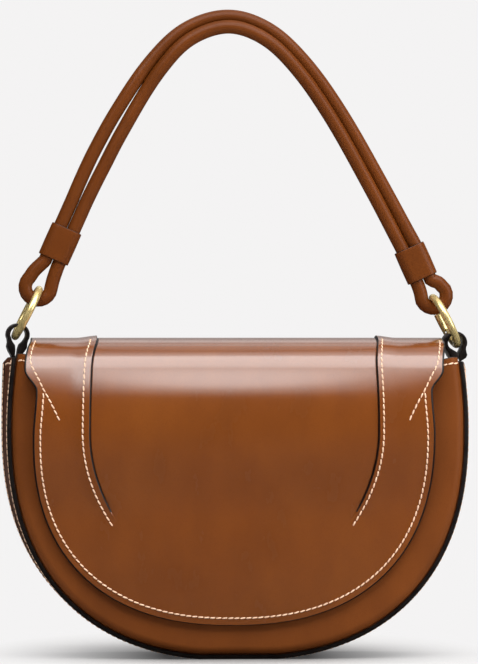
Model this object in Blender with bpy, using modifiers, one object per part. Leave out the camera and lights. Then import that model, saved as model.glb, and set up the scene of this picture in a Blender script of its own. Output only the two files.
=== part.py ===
"""Half moon bag: a leather body, a flap with darts, brass gate rings and a doubled cord handle.

+X is the viewer's right, the front faces -Y, +Z is up and the base rests on z = 0.
"""

import math

import bmesh
import bpy
import numpy as np
from mathutils import Matrix, Vector

# Driving dimensions, in metres
MM = 0.001
GAP = 0.3 * MM

# Body outline: a superellipse below SIDE_Z, gently tapered sides above it, a flat in the middle of the base
FRONT_HALF = 127.5 * MM
BACK_HALF = 131.5 * MM
FRONT_TAPER = 4.0 * MM
BACK_TAPER = 0.6 * MM
SIDE_Z = 127.7 * MM
ROUNDNESS = 2.37
BASE_FLAT_HALF = 22.0 * MM
GUSSET_TOP = 163.0 * MM
FRONT_TOP = 165.2 * MM
BACK_TOP = 163.2 * MM
LINING_DROP = 1.0 * MM

# Body depth at the base and at the front edge's height
BASE_DEPTH = 64.0 * MM
TOP_DEPTH = 54.0 * MM

# Leather and board
GUSSET_T = 2.6 * MM
PANEL_T = 1.5 * MM
FLAP_T = 1.6 * MM
BOARD_T = 1.0 * MM
LINING_T = 0.9 * MM
GUSSET_SAG = 0.8 * MM
FRONT_ROLL = 4.5 * MM
BACK_ROLL = 4.0 * MM
FRONT_FLANGE = 9.0 * MM
BACK_FLANGE = 8.0 * MM
GUSSET_BOARD_TOP = 136.0 * MM

# Flap outline
FLAP_HALF = 110.2 * MM
FLAP_MID_Z = 122.0 * MM
FLAP_BOTTOM = 19.2 * MM
FLAP_ROUNDNESS = 2.35
NECK_HALF = 108.6 * MM
NECK_Z = 148.0 * MM
EAR_HALF = 115.0 * MM
EAR_Z = 159.5 * MM
FRONT_HINGE_Z = 160.5 * MM
BACK_HINGE_Z = 157.0 * MM
CROWN_Z = 177.0 * MM
CROWN_HALF = 113.1 * MM
CROWN_BACK_HALF = 107.0 * MM
ROOT_HALF = 100.0 * MM
ROOT_LOW = 136.0 * MM
FLAP_BOARD_TOP = 146.0 * MM
FULL_FROM_Z = 100.0 * MM
STAND_FROM_Z = 110.0 * MM
DART_X = 80.6 * MM
DART_BEND_Z = 125.0 * MM
DART_TURN = 16.0 * MM
DART_LEAN = 2.6 * MM
DART_FADE = 20.0 * MM
CROWN_BACK_Y = 20.0 * MM
CROWN_BACK_Z = 174.2 * MM
CROWN_Y = 4.0 * MM
CROWN_FRONT_Y = -14.0 * MM
CROWN_FRONT_Z = 176.0 * MM
SHOULDER_Z = 172.0 * MM
SHOULDER_LOW_Z = 166.9 * MM
BACK_SHOULDER_Z = 168.5 * MM
BACK_BEND_Z = 163.0 * MM

# Flap stand-off from the front panel at its edge and at its top, and the dart laps
EDGE_STAND = 3.6 * MM
TOP_STAND = 4.8 * MM
DART_RISE = 1.3 * MM
DART_LOW_Z = 76.5 * MM

# Magnetic snap
SNAP_Z = 75.0 * MM
SNAP_R = 9.0 * MM
STUD_R = 2.7 * MM
CUP_H = 2.6 * MM
PLATE_T = 0.6 * MM
SHEET_T = 0.3 * MM
WASHER_R = SNAP_R - 0.5 * MM
WINDOW_R = SNAP_R + 0.5 * MM

# Rings, tabs and gates
LEFT_RING = Vector((-116.6 * MM, 0.0, 190.8 * MM))
RIGHT_RING = Vector((116.6 * MM, 0.0, 186.3 * MM))
RING_R = 14.65 * MM
WIRE_R = 2.1 * MM
RING_LEAN = math.radians(27.0)
GATE_FROM = math.radians(72.0)
GATE_TO = math.radians(110.0)
PIN_R = 0.55 * MM
TAB_HALF_WIDTH = 6.5 * MM
TAB_T = 1.5 * MM
TAB_HOLE_R = 4.45 * MM
TAB_HOLE_DROP = 12.05 * MM
TAB_HOLE_OUT = 4.9 * MM
STEM_LOW = 140.0 * MM
STEM_T = 1.0 * MM

# Handle: an endless cord, doubled; its middle line runs from the left keeper's top to the right keeper's top
CORD_R = 3.75 * MM
LEFT_KEEPER = Vector((-98.2 * MM, 0.0, 229.3 * MM))
RIGHT_KEEPER = Vector((100.4 * MM, 0.0, 218.7 * MM))
KEEPER_LEAN = math.radians(24.0)
KEEPER_LENGTH = 19.0 * MM
KEEPER_T = 0.9 * MM
EYE_HALF = 8.3 * MM
EYE_SHIFT = 1.0 * MM
CROWN_SPREAD = 2.9 * MM
CROWN_DROP = 2.7 * MM
ARCH = (
    (-80.5 * MM, 268.5 * MM),
    (-65.3 * MM, 297.5 * MM),
    (-46.5 * MM, 326.8 * MM),
    (-27.5 * MM, 346.0 * MM),
    (-4.5 * MM, 353.4 * MM),
    (17.5 * MM, 346.2 * MM),
    (37.0 * MM, 327.8 * MM),
    (56.5 * MM, 300.0 * MM),
    (77.5 * MM, 263.0 * MM),
)

CENTRE = Vector((0.0, 0.0, 85.0 * MM))

COLOURS = {
    "leather": ((0.16, 0.055, 0.022, 1.0), 0.42, 0.0),
    "edge": ((0.012, 0.008, 0.007, 1.0), 0.35, 0.0),
    "board": ((0.32, 0.27, 0.2, 1.0), 0.85, 0.0),
    "lining": ((0.42, 0.3, 0.19, 1.0), 0.8, 0.0),
    "brass": ((0.72, 0.5, 0.2, 1.0), 0.24, 1.0),
    "steel": ((0.6, 0.6, 0.58, 1.0), 0.3, 1.0),
    "magnet": ((0.09, 0.09, 0.1, 1.0), 0.4, 0.6),
}

# Clear the scene, and make one collection for the object and one for its cutters
for old in list(bpy.data.objects):
    bpy.data.objects.remove(old, do_unlink=True)
bag = bpy.data.collections.new("half_moon_bag")
bpy.context.scene.collection.children.link(bag)
cutters = bpy.data.collections.new("cutters")
cutters.hide_render = True
bpy.context.scene.collection.children.link(cutters)


def material(name, kind):
    """A Principled material of the object's own."""
    colour, roughness, metallic = COLOURS[kind]
    made = bpy.data.materials.new(name)
    made.use_nodes = True
    shader = made.node_tree.nodes["Principled BSDF"]
    shader.inputs["Base Color"].default_value = colour
    shader.inputs["Roughness"].default_value = roughness
    shader.inputs["Metallic"].default_value = metallic
    made.diffuse_color = colour
    return made


def add(name, data, kind, collection=None):
    """A new object in the bag's collection, with its material."""
    obj = bpy.data.objects.new(name, data)
    (collection or bag).objects.link(obj)
    data.materials.append(material(name, kind))
    return obj


def cutter(name, data):
    """A hidden helper for a Boolean."""
    obj = bpy.data.objects.new(name, data)
    cutters.objects.link(obj)
    obj.hide_render = True
    obj.display_type = "WIRE"
    return obj


def boolean(obj, other, operation):
    change = obj.modifiers.new(other.name, "BOOLEAN")
    change.operation = operation
    change.object = other
    change.solver = "EXACT"


def lerp(a, b, t):
    return a + (b - a) * t


def smooth(t):
    t = np.clip(t, 0.0, 1.0)
    return t * t * (3.0 - 2.0 * t)


# Body surfaces


def lean(z):
    """Half the body depth at height z."""
    return lerp(BASE_DEPTH, TOP_DEPTH, z / FRONT_TOP) / 2.0


def y_at(v, z):
    """Depth coordinate: v = 0 is the gusset's front edge, v = 1 the back panel's outer face.

    Within END_SHARE of either face it runs in true distances, so that layers keep their thickness."""
    front = -lean(z) + min(v, END_SHARE) * BASE_DEPTH
    back = lean(z) - min(1.0 - v, END_SHARE) * BASE_DEPTH
    return lerp(front, back, min(1.0, max(0.0, (v - END_SHARE) / (1.0 - 2.0 * END_SHARE))))


END_SHARE = 0.25
SIDE_STEPS = 3
ARC_STEPS = 14


def outline(v, top, inset):
    """Rows (x, z) of the body outline at depth v, from the left top to the right top.

    |x / h|^n + |(z0 - z) / b|^n = 1 below z0, moved inwards along its normal by inset."""
    half = lerp(FRONT_HALF, BACK_HALF, v)
    taper = lerp(FRONT_TAPER, BACK_TAPER, v)
    n = ROUNDNESS
    drop = SIDE_Z / (1.0 - (BASE_FLAT_HALF / half) ** n) ** (1.0 / n)
    z = np.linspace(top, SIDE_Z, SIDE_STEPS + 1)
    x = half - taper * ((z - SIDE_Z) / (GUSSET_TOP - SIDE_Z)) ** 2
    side = np.stack([x, z], axis=1)
    inward = np.tile([-1.0, 0.0], (len(side), 1))
    end = math.asin((SIDE_Z / drop) ** (n / 2.0))
    angle = np.linspace(0.0, end, ARC_STEPS + 1)[1:]
    ax = half * np.cos(angle) ** (2.0 / n)
    az = drop * np.sin(angle) ** (2.0 / n)
    arc = np.stack([ax, SIDE_Z - az], axis=1)
    slope = np.stack([-(ax ** (n - 1.0)) / half**n, az ** (n - 1.0) / drop**n], axis=1)
    slope /= np.linalg.norm(slope, axis=1)[:, None]
    middle = np.array([[0.0, 0.0]])
    right = np.concatenate([side, arc, middle])
    normals = np.concatenate([inward, slope, [[0.0, 1.0]]])
    moved = right + normals * np.asarray(inset).reshape(-1, 1)
    left = moved[:-1] * [-1.0, 1.0]
    return np.concatenate([left, moved[::-1]])


def sag(v):
    """The gusset's hollow along the outline's right half: deepest at its top, none on the base."""
    count = SIDE_STEPS + ARC_STEPS + 2
    along = np.linspace(1.0, 0.0, count)
    return GUSSET_SAG * smooth(along * 1.4 - 0.3) * max(0.0, 4.0 * v * (1.0 - v))


def rows(stations, top, follow=True):
    """Points of a surface lofted through outlines; stations are (v, inset)."""
    made = []
    for v, inset in stations:
        flat = outline(v, top, inset + (sag(v) if follow else 0.0))
        made.append(np.stack([flat[:, 0], y_at(v, flat[:, 1]), flat[:, 1]], axis=1))
    return np.array(made)


def fan(v, inset, top, shares):
    """Rows of a flat face from the middle of its top edge out to the outline; the first row is a pole."""
    edge = outline(v, top, inset)
    pole = np.array([0.0, top])
    made = []
    for share in shares:
        flat = pole + share * (edge - pole)
        made.append(np.stack([flat[:, 0], y_at(v, flat[:, 1]), flat[:, 1]], axis=1))
    return np.array(made)


def normals_of(grid):
    """Unit normals of a grid of points, pointing away from the body's centre."""
    along = np.gradient(grid, axis=0)
    across = np.gradient(grid, axis=1)
    normal = np.cross(along, across)
    length = np.linalg.norm(normal, axis=2, keepdims=True)
    normal = np.where(length > 1e-12, normal / np.maximum(length, 1e-12), 0.0)
    for end, beside in ((0, 1), (-1, -2)):
        if np.ptp(grid[end], axis=0).max() < 1e-7:
            normal[end] = normal[beside].mean(axis=0)
    normal /= np.maximum(np.linalg.norm(normal, axis=2, keepdims=True), 1e-12)
    away = grid - np.array(CENTRE)
    return normal * np.sign((normal * away).sum(axis=2).mean())


def shifted(grid, depth):
    """The grid moved inwards by depth, a number or one number per point."""
    depth = np.asarray(depth, dtype=float)
    return grid - normals_of(grid) * (depth[..., None] if depth.ndim else depth)


def sheet(name, grid, thickness, kind):
    """A shell of this thickness, growing inwards from a grid of points; a row of one point is a pole."""
    made = bmesh.new()
    table = []
    for row in grid:
        if np.ptp(row, axis=0).max() < 1e-7:
            table.append([made.verts.new(row[0])] * len(row))
        else:
            table.append([made.verts.new(point) for point in row])
    for upper, lower in zip(table[:-1], table[1:]):
        for i in range(len(upper) - 1):
            ring = [upper[i], upper[i + 1], lower[i + 1], lower[i]]
            ring = [v for k, v in enumerate(ring) if v not in ring[:k]]
            if len(ring) > 2:
                made.faces.new(ring)
    made.normal_update()
    facing = sum((f.normal.dot(f.calc_center_median() - CENTRE) * f.calc_area() for f in made.faces))
    if facing < 0:
        bmesh.ops.reverse_faces(made, faces=made.faces)
    data = bpy.data.meshes.new(name)
    made.to_mesh(data)
    made.free()
    obj = add(name, data, kind)
    solid = obj.modifiers.new("Thickness", "SOLIDIFY")
    solid.thickness = thickness
    solid.offset = -1.0
    solid.use_even_offset = True
    solid.use_quality_normals = True
    return obj


def at(depth):
    """A depth in metres as a share of the body depth at the base."""
    return depth / BASE_DEPTH


# Front panel: flat pillowed face, rolled edge, flange inside the gusset
FRONT_IN = GUSSET_T + GAP
quarter = [math.radians(a) for a in (0.0, 30.0, 60.0, 90.0)]
front_face = fan(-at(FRONT_ROLL), FRONT_IN + FRONT_ROLL, FRONT_TOP, (0.0, 0.35, 0.7))
front_roll = []
for a in quarter:
    front_roll.append((-at(FRONT_ROLL * math.cos(a)), FRONT_IN + FRONT_ROLL * (1.0 - math.sin(a))))
front_roll.append((at(FRONT_FLANGE), FRONT_IN))
front_grid = np.concatenate([front_face, rows(front_roll, FRONT_TOP)])
front_panel = sheet("front_panel", front_grid, PANEL_T, "leather")

LINED_TOP = GUSSET_TOP - LINING_DROP
board_from = PANEL_T + GAP
lining_from = board_from + BOARD_T + GAP
front_board_v = -at(FRONT_ROLL - board_from)
front_lining_v = -at(FRONT_ROLL - lining_from)
plain = (0.0, 0.5, 1.0)
board_fan = fan(front_board_v, FRONT_IN + FRONT_ROLL - 0.3 * MM, LINED_TOP, plain)
front_stiffener = sheet("front_stiffener", board_fan, BOARD_T, "board")
lining_inset = FRONT_IN + PANEL_T + 3.0 * GAP
front_lining = sheet("front_lining", fan(front_lining_v, lining_inset, LINED_TOP, plain), LINING_T, "lining")

# Back panel: flat face, rolled edge, flange turned forward over the gusset
back_face = fan(1.0, BACK_ROLL, BACK_TOP, (0.0, 0.35, 0.7))
back_roll = [(1.0 - at(BACK_ROLL * (1.0 - math.cos(a))), BACK_ROLL * (1.0 - math.sin(a))) for a in quarter]
FLANGE_V = 1.0 - at(BACK_ROLL + BACK_FLANGE)
back_roll.append((FLANGE_V, 0.0))
back_panel = sheet(
    "back_panel", np.concatenate([back_face, rows(back_roll, BACK_TOP)]), PANEL_T, "leather"
)
LAP = PANEL_T + GAP
gusset_in = LAP + GUSSET_T + GAP + 0.3 * MM
back_stiffener = sheet(
    "back_stiffener", fan(1.0 - at(board_from), gusset_in, LINED_TOP, plain), BOARD_T, "board"
)
back_lining_fan = fan(1.0 - at(lining_from), gusset_in, LINED_TOP, plain)
back_lining = sheet("back_lining", back_lining_fan, LINING_T, "lining")

# Gusset: outermost in front, under the back panel's flange behind
LAP_START = FLANGE_V - at(4.0 * MM)
LAP_END = FLANGE_V - at(0.6 * MM)
GUSSET_END = 1.0 - at(3.4 * MM)


def lap(v):
    return LAP * float(smooth((v - LAP_START) / (LAP_END - LAP_START)))


gusset_stations = [0.0, 0.18, 0.4, 0.62, LAP_START, (LAP_START + LAP_END) / 2.0, LAP_END, GUSSET_END]
gusset = sheet("gusset", rows([(v, lap(v)) for v in gusset_stations], GUSSET_TOP), GUSSET_T, "leather")
board_stations = np.linspace(at(FRONT_FLANGE + 1.0 * MM), LAP_START - at(0.6 * MM), 4)
gusset_board = rows([(v, GUSSET_T + GAP) for v in board_stations], GUSSET_BOARD_TOP)
gusset_stiffener = sheet("gusset_stiffener", gusset_board, BOARD_T, "board")
lining_stations = np.linspace(front_lining_v + at(LINING_T + GAP), 1.0 - at(lining_from + LINING_T + GAP), 6)
gusset_lining = sheet(
    "gusset_lining",
    rows([(v, LAP + GUSSET_T + 2.0 * GAP) for v in lining_stations], LINED_TOP),
    LINING_T,
    "lining",
)

# Flap surfaces


def flap_half(z):
    """Half-width of the flap at height z: ears above a neck, then a superellipse."""
    if z < FLAP_MID_Z:
        share = min(1.0, (FLAP_MID_Z - z) / (FLAP_MID_Z - FLAP_BOTTOM))
        return FLAP_HALF * max(0.0, 1.0 - share**FLAP_ROUNDNESS) ** (1.0 / FLAP_ROUNDNESS)
    neck = lerp(FLAP_HALF, NECK_HALF, float(smooth((z - FLAP_MID_Z) / (NECK_Z - FLAP_MID_Z))))
    return neck + (EAR_HALF - NECK_HALF) * float(smooth((z - NECK_Z) / (EAR_Z - NECK_Z)))


def dart_x(z):
    """The dart line: nearly upright above the neck, curving to the middle at its foot."""
    fall = max(0.0, (DART_BEND_Z - z) / (DART_BEND_Z - DART_LOW_Z))
    rise = max(0.0, (z - DART_BEND_Z) / (CROWN_Z - DART_BEND_Z))
    return DART_X - DART_TURN * fall**2 - DART_LEAN * rise**2


def columns(half, dart):
    """Half of a row's x positions, from the middle to the edge, with the dart's step at the fourth."""
    room = half - dart
    steps = [min(0.7 * MM, 0.05 * room), min(6.0 * MM, 0.3 * room), min(12.0 * MM, 0.55 * room)]
    inner = [0.0, 0.36 * dart, 0.72 * dart, dart]
    return inner + [dart + s for s in steps] + [half - 0.16 * room, half]


STEP_SHAPE = np.array([0.0, 0.0, 0.0, 0.0, 1.0, 0.55, 0.0, 0.0, 0.0])


def mirrored(values, sign):
    values = np.asarray(values)
    return np.concatenate([sign * values[:0:-1], values])


def radius_of(x, z):
    """0 in the flap's middle, 1 on its lower edge."""
    n = FLAP_ROUNDNESS
    low = np.maximum(0.0, (FLAP_MID_Z - z) / (FLAP_MID_Z - FLAP_BOTTOM))
    return ((np.abs(x) / FLAP_HALF) ** n + low**n) ** (1.0 / n)


FLAP_STACK = FLAP_T + GAP + BOARD_T + GAP + LINING_T
SNAP_STACK = FLAP_STACK + GAP + PLATE_T + GAP + CUP_H + GAP


def fullness(x, z):
    edge = 1.0 - np.minimum(1.0, radius_of(x, z)) ** 3
    return edge * (1.0 - smooth((z - FULL_FROM_Z) / (FRONT_HINGE_Z - FULL_FROM_Z)))


PILLOW = (SNAP_STACK + 0.4 * MM - EDGE_STAND) / float(fullness(0.0, SNAP_Z))


def flap_y(x, z):
    """The flap's outer surface: the front panel's face plus a stand-off that clears the snap."""
    face = y_at(0.0, z) - FRONT_ROLL
    top = (TOP_STAND - EDGE_STAND) * smooth((z - STAND_FROM_Z) / (FRONT_HINGE_Z - STAND_FROM_Z))
    return face - EDGE_STAND - top - PILLOW * fullness(x, z)


n_angles = 11
turn = np.linspace(0.0, math.pi / 2.0, n_angles)[1:]
low_z = FLAP_MID_Z - (FLAP_MID_Z - FLAP_BOTTOM) * np.sin(turn) ** (2.0 / FLAP_ROUNDNESS)
flap_z = [FRONT_HINGE_Z - GAP]
flap_z += [lerp(NECK_Z, FRONT_HINGE_Z, share) for share in (0.72, 0.48, 0.24, 0.0)]
flap_z += [lerp(FLAP_MID_Z, NECK_Z, share) for share in (0.73, 0.385, 0.0)]
flap_z += list(low_z)


def flap_row(z, edge_in=0.0):
    half = flap_half(z) - edge_in
    dart = min(dart_x(z), 0.63 * half) if z < DART_LOW_Z + 0.4 * DART_FADE else dart_x(z)
    x = mirrored(columns(half, dart), -1.0)
    return np.stack([x, flap_y(x, np.full(len(x), z)), np.full(len(x), z)], axis=1)


def mirror_shape(values):
    return np.concatenate([values[:0:-1], values])


flap_grid = np.array([flap_row(z) for z in flap_z])
flap_grid[-1] = flap_grid[-1].mean(axis=0)
dart_height = np.array([DART_RISE * float(smooth((z - DART_LOW_Z) / DART_FADE)) for z in flap_z])
flap_step = dart_height[:, None] * mirror_shape(STEP_SHAPE)[None, :]
flap_panel = sheet("flap_panel", shifted(flap_grid, -flap_step), FLAP_T, "leather")


BOARD_SHARES = mirrored((0.0, 0.27, 0.55, 0.8, 1.0), -1.0)
LINING_SHARES = mirrored((0.0, 0.25, 0.5, 0.72, 0.86, 0.955, 1.0), -1.0)


def plain_flap(top, low_in, share, tops):
    """A coarser grid of the flap's outer surface, without darts, its edge moved in by low_in."""
    scale = (FLAP_MID_Z - FLAP_BOTTOM - low_in) / (FLAP_MID_Z - FLAP_BOTTOM)
    heights = [z for z in tops if z <= top]
    heights += list(FLAP_MID_Z - (FLAP_MID_Z - low_z[::2]) * scale)
    if (n_angles - 1) % 2 == 0:
        heights.append(FLAP_MID_Z - (FLAP_MID_Z - low_z[-1]) * scale)
    made = []
    for z in heights:
        real = FLAP_MID_Z - (FLAP_MID_Z - z) / scale if z < FLAP_MID_Z else z
        x = share * max(0.0, flap_half(real) - low_in * (1.0 if real > FLAP_BOTTOM + 1e-6 else 0.0))
        made.append(np.stack([x, flap_y(x, np.full(len(x), z)), np.full(len(x), z)], axis=1))
    made = np.array(made)
    made[-1] = made[-1].mean(axis=0)
    return made


board_tops = (FLAP_BOARD_TOP, lerp(FLAP_MID_Z, FLAP_BOARD_TOP, 0.5), FLAP_MID_Z)
board_grid = plain_flap(FLAP_BOARD_TOP, 10.0 * MM, BOARD_SHARES, board_tops)
flap_stiffener = sheet("flap_stiffener", shifted(board_grid, FLAP_T + GAP), BOARD_T, "board")
lining_tops = [FRONT_HINGE_Z - GAP]
lining_tops += [lerp(NECK_Z, FRONT_HINGE_Z, share) for share in (0.56, 0.24, 0.0)]
lining_tops += [lerp(FLAP_MID_Z, NECK_Z, share) for share in (0.54, 0.0)]
lining_grid = plain_flap(FRONT_HINGE_Z, 0.8 * MM, LINING_SHARES, lining_tops)
room_in = smooth((1.0 - radius_of(lining_grid[..., 0], lining_grid[..., 2])) / 0.05)
room_up = 1.0 - smooth((lining_grid[..., 2] - FLAP_BOARD_TOP) / (8.0 * MM))
lining_depth = FLAP_T + GAP + (BOARD_T + GAP) * room_in * room_up
flap_lining = sheet("flap_lining", shifted(lining_grid, lining_depth), LINING_T, "lining")

# Crown: the flap's arch from the back hinge over the top to the front hinge


def between(a, b, c, d, f):
    """The point at share f from b to c of the curve through a, b, c and d."""
    bend = (2.0 * a - 5.0 * b + 4.0 * c - d) * f**2
    return 0.5 * (2.0 * b + (c - a) * f + bend + (3.0 * b - a - 3.0 * c + d) * f**3)


def catmull(points, count):
    """Points evenly spaced in parameter along a curve through the given points."""
    pts = np.array([2.0 * np.array(points[0]) - np.array(points[1])] + [np.array(p) for p in points])
    pts = np.vstack([pts, 2.0 * pts[-1] - pts[-2]])
    made = []
    for t in np.linspace(0.0, len(points) - 1.0, count):
        i = min(int(t), len(points) - 2)
        f = t - i
        a, b, c, d = pts[i], pts[i + 1], pts[i + 2], pts[i + 3]
        made.append(between(a, b, c, d, f))
    return np.array(made)


HINGE_BACK_Y = y_at(1.0, BACK_HINGE_Z) + GAP + FLAP_T
HINGE_FRONT_Y = float(flap_y(0.0, FRONT_HINGE_Z))
arch = catmull(
    (
        (HINGE_BACK_Y, BACK_HINGE_Z + GAP),
        (HINGE_BACK_Y - 0.1 * MM, BACK_BEND_Z),
        (HINGE_BACK_Y - 2.0 * MM, BACK_SHOULDER_Z),
        (CROWN_BACK_Y, CROWN_BACK_Z),
        (CROWN_Y, CROWN_Z),
        (CROWN_FRONT_Y, CROWN_FRONT_Z),
        (HINGE_FRONT_Y + 9.5 * MM, SHOULDER_Z),
        (HINGE_FRONT_Y + 2.2 * MM, SHOULDER_LOW_Z),
        (HINGE_FRONT_Y, FRONT_HINGE_Z + GAP),
    ),
    17,
)
crown_rows = []
crown_step = []
for k, (y, z) in enumerate(arch):
    travel = k / (len(arch) - 1.0)
    half = lerp(CROWN_BACK_HALF, CROWN_HALF, float(smooth(travel * 2.4)))
    half = lerp(half, EAR_HALF, float(smooth((travel - 0.8) / 0.15)))
    x = mirrored(columns(half, dart_x(z)), -1.0)
    crown_rows.append(np.stack([x, np.full(len(x), y), np.full(len(x), z)], axis=1))
    crown_step.append(DART_RISE * float(smooth((travel - 0.3) / 0.2)) * mirror_shape(STEP_SHAPE))
crown_grid = np.array(crown_rows)
flap_crown = sheet("flap_crown", shifted(crown_grid, -np.array(crown_step)), FLAP_T, "leather")
under = crown_grid[4:, ::2].copy()
under[-1] = lerp(under[-2], under[-1], 0.8)
crown_lining = sheet("crown_lining", shifted(under, FLAP_T + GAP), LINING_T, "lining")

# Root strip: the flap's fixed end, sewn to the back panel
root_rows = []
for z in (BACK_HINGE_Z, lerp(BACK_HINGE_Z, ROOT_LOW, 0.5), ROOT_LOW):
    share = (z - ROOT_LOW) / (BACK_HINGE_Z - ROOT_LOW)
    x = np.linspace(-1.0, 1.0, 9) * lerp(ROOT_HALF, CROWN_BACK_HALF, share)
    root_rows.append(np.stack([x, np.full(9, y_at(1.0, z) + GAP + FLAP_T), np.full(9, z)], axis=1))
flap_root_strip = sheet("flap_root_strip", np.array(root_rows), FLAP_T, "leather")

# Magnetic snap


def lathe(name, profile, kind, steps=28):
    """A solid of revolution about its own Z axis; the profile lists (radius, height) anticlockwise."""
    data = bpy.data.meshes.new(name)
    points = [(r, 0.0, h) for r, h in profile]
    closed = profile[0][0] > 0.0
    count = len(points)
    edges = [(i, (i + 1) % count) for i in range(count if closed else count - 1)]
    data.from_pydata(points, edges, [])
    obj = add(name, data, kind)
    screw = obj.modifiers.new("Revolve", "SCREW")
    screw.steps = steps
    screw.render_steps = steps
    screw.use_merge_vertices = True
    screw.merge_threshold = 0.00001
    screw.use_normal_calculate = True
    screw.use_normal_flip = closed
    return obj


def box(name, size, centre):
    """A hidden box."""
    made = bmesh.new()
    bmesh.ops.create_cube(made, size=1.0, matrix=Matrix.Translation(centre) @ Matrix.Diagonal((*size, 1.0)))
    data = bpy.data.meshes.new(name)
    made.to_mesh(data)
    made.free()
    return cutter(name, data)


def rod(name, radius, depth, centre, segments=28):
    """A hidden cylinder along Z."""
    made = bmesh.new()
    bmesh.ops.create_cone(
        made,
        cap_ends=True,
        segments=segments,
        radius1=radius,
        radius2=radius,
        depth=depth,
        matrix=Matrix.Translation(centre),
    )
    data = bpy.data.meshes.new(name)
    made.to_mesh(data)
    made.free()
    return cutter(name, data)


def slope_at(surface, z):
    """Angle by which a surface y(z) leans from upright, at height z."""
    step = 1.0 * MM
    return math.atan2(surface(z + step) - surface(z - step), 2.0 * step)


def face_y(z):
    return float(y_at(0.0, z)) - FRONT_ROLL


def flap_mid_y(z):
    return float(flap_y(0.0, z))


body_lean = slope_at(face_y, SNAP_Z)
flap_lean = slope_at(flap_mid_y, SNAP_Z)


def facing_front(lean_angle, y, z):
    """Placement whose local Z axis points out of the leaning face towards the front."""
    turn_x = Matrix.Rotation(math.radians(90.0) - lean_angle, 4, "X")
    return Matrix.Translation((0.0, y, z)) @ turn_x


female_place = facing_front(body_lean, face_y(SNAP_Z), SNAP_Z)
male_place = facing_front(flap_lean, flap_mid_y(SNAP_Z), SNAP_Z)
HOLE_R = STUD_R + 0.5 * MM
cup_low = GAP
cup_high = GAP + CUP_H
snap_female = lathe(
    "snap_female",
    (
        (0.0, cup_low),
        (SNAP_R, cup_low),
        (SNAP_R, cup_high),
        (HOLE_R, cup_high),
        (HOLE_R, cup_high - SHEET_T),
        (SNAP_R - SHEET_T, cup_high - SHEET_T),
        (SNAP_R - SHEET_T, cup_low + SHEET_T),
        (0.0, cup_low + SHEET_T),
    ),
    "brass",
)
magnet_low = cup_low + SHEET_T + 0.1 * MM
magnet_high = cup_high - SHEET_T - 0.1 * MM
snap_magnet = lathe(
    "snap_magnet",
    (
        (HOLE_R + 0.4 * MM, magnet_low),
        (SNAP_R - SHEET_T - 0.2 * MM, magnet_low),
        (SNAP_R - SHEET_T - 0.2 * MM, magnet_high),
        (HOLE_R + 0.4 * MM, magnet_high),
    ),
    "magnet",
)
washer = -PANEL_T - GAP
snap_female_washer = lathe(
    "snap_female_washer",
    ((1.5 * MM, washer - PLATE_T), (WASHER_R, washer - PLATE_T), (WASHER_R, washer), (1.5 * MM, washer)),
    "steel",
)
for piece in (snap_female, snap_magnet, snap_female_washer):
    piece.matrix_world = female_place

plate_top = -(FLAP_STACK + GAP)
snap_male = lathe(
    "snap_male",
    (
        (0.0, plate_top - PLATE_T - 1.7 * MM),
        (STUD_R - 0.4 * MM, plate_top - PLATE_T - 1.7 * MM),
        (STUD_R, plate_top - PLATE_T - 1.3 * MM),
        (STUD_R, plate_top - PLATE_T),
        (SNAP_R - 0.4 * MM, plate_top - PLATE_T),
        (SNAP_R - 0.4 * MM, plate_top),
        (0.0, plate_top),
    ),
    "brass",
)
male_washer = -(FLAP_T + GAP)
snap_male_washer = lathe(
    "snap_male_washer",
    (
        (1.5 * MM, male_washer - PLATE_T),
        (WASHER_R, male_washer - PLATE_T),
        (WASHER_R, male_washer),
        (1.5 * MM, male_washer),
    ),
    "steel",
)
for piece in (snap_male, snap_male_washer):
    piece.matrix_world = male_place

# Prongs of both snap halves, their slots in leather and washers, and the round windows in the boards
PRONG_X = 4.5 * MM
PRONG = (0.7 * MM, 3.0 * MM)
for side in (-1.0, 1.0):
    tag = "left" if side < 0 else "right"
    reach = PANEL_T + 2.0 * GAP + PLATE_T
    middle = (side * PRONG_X, 0.0, -reach / 2.0 + cup_low)
    prong = box(f"female_prong_{tag}", (*PRONG, reach + 0.2 * MM), middle)
    prong.matrix_world = female_place
    boolean(snap_female, prong, "UNION")
    slot_size = (PRONG[0] + 2.0 * GAP, PRONG[1] + 2.0 * GAP, 8.0 * MM)
    slot = box(f"female_slot_{tag}", slot_size, (side * PRONG_X, 0.0, -3.0 * MM))
    slot.matrix_world = female_place
    boolean(front_panel, slot, "DIFFERENCE")
    boolean(snap_female_washer, slot, "DIFFERENCE")
    male_reach = LINING_T + 2.0 * GAP + BOARD_T + GAP
    height = plate_top + male_reach / 2.0 - 0.2 * MM
    prong = box(f"male_prong_{tag}", (*PRONG, male_reach), (side * PRONG_X, 0.0, height))
    prong.matrix_world = male_place
    boolean(snap_male, prong, "UNION")
    slot = box(f"male_slot_{tag}", (*slot_size[:2], 5.0 * MM), (side * PRONG_X, 0.0, -(FLAP_T + 2.6 * MM)))
    slot.matrix_world = male_place
    boolean(flap_lining, slot, "DIFFERENCE")
    boolean(snap_male_washer, slot, "DIFFERENCE")
window = rod("female_window", WINDOW_R, 1.4 * MM, (0.0, 0.0, -(board_from + BOARD_T / 2.0)))
window.matrix_world = female_place
boolean(front_stiffener, window, "DIFFERENCE")
window = rod("male_window", WINDOW_R, 1.4 * MM, (0.0, 0.0, -(FLAP_T + GAP + BOARD_T / 2.0)))
window.matrix_world = male_place
boolean(flap_stiffener, window, "DIFFERENCE")

# Rings with their gates, on a common swing axis through both ring centres


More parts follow.
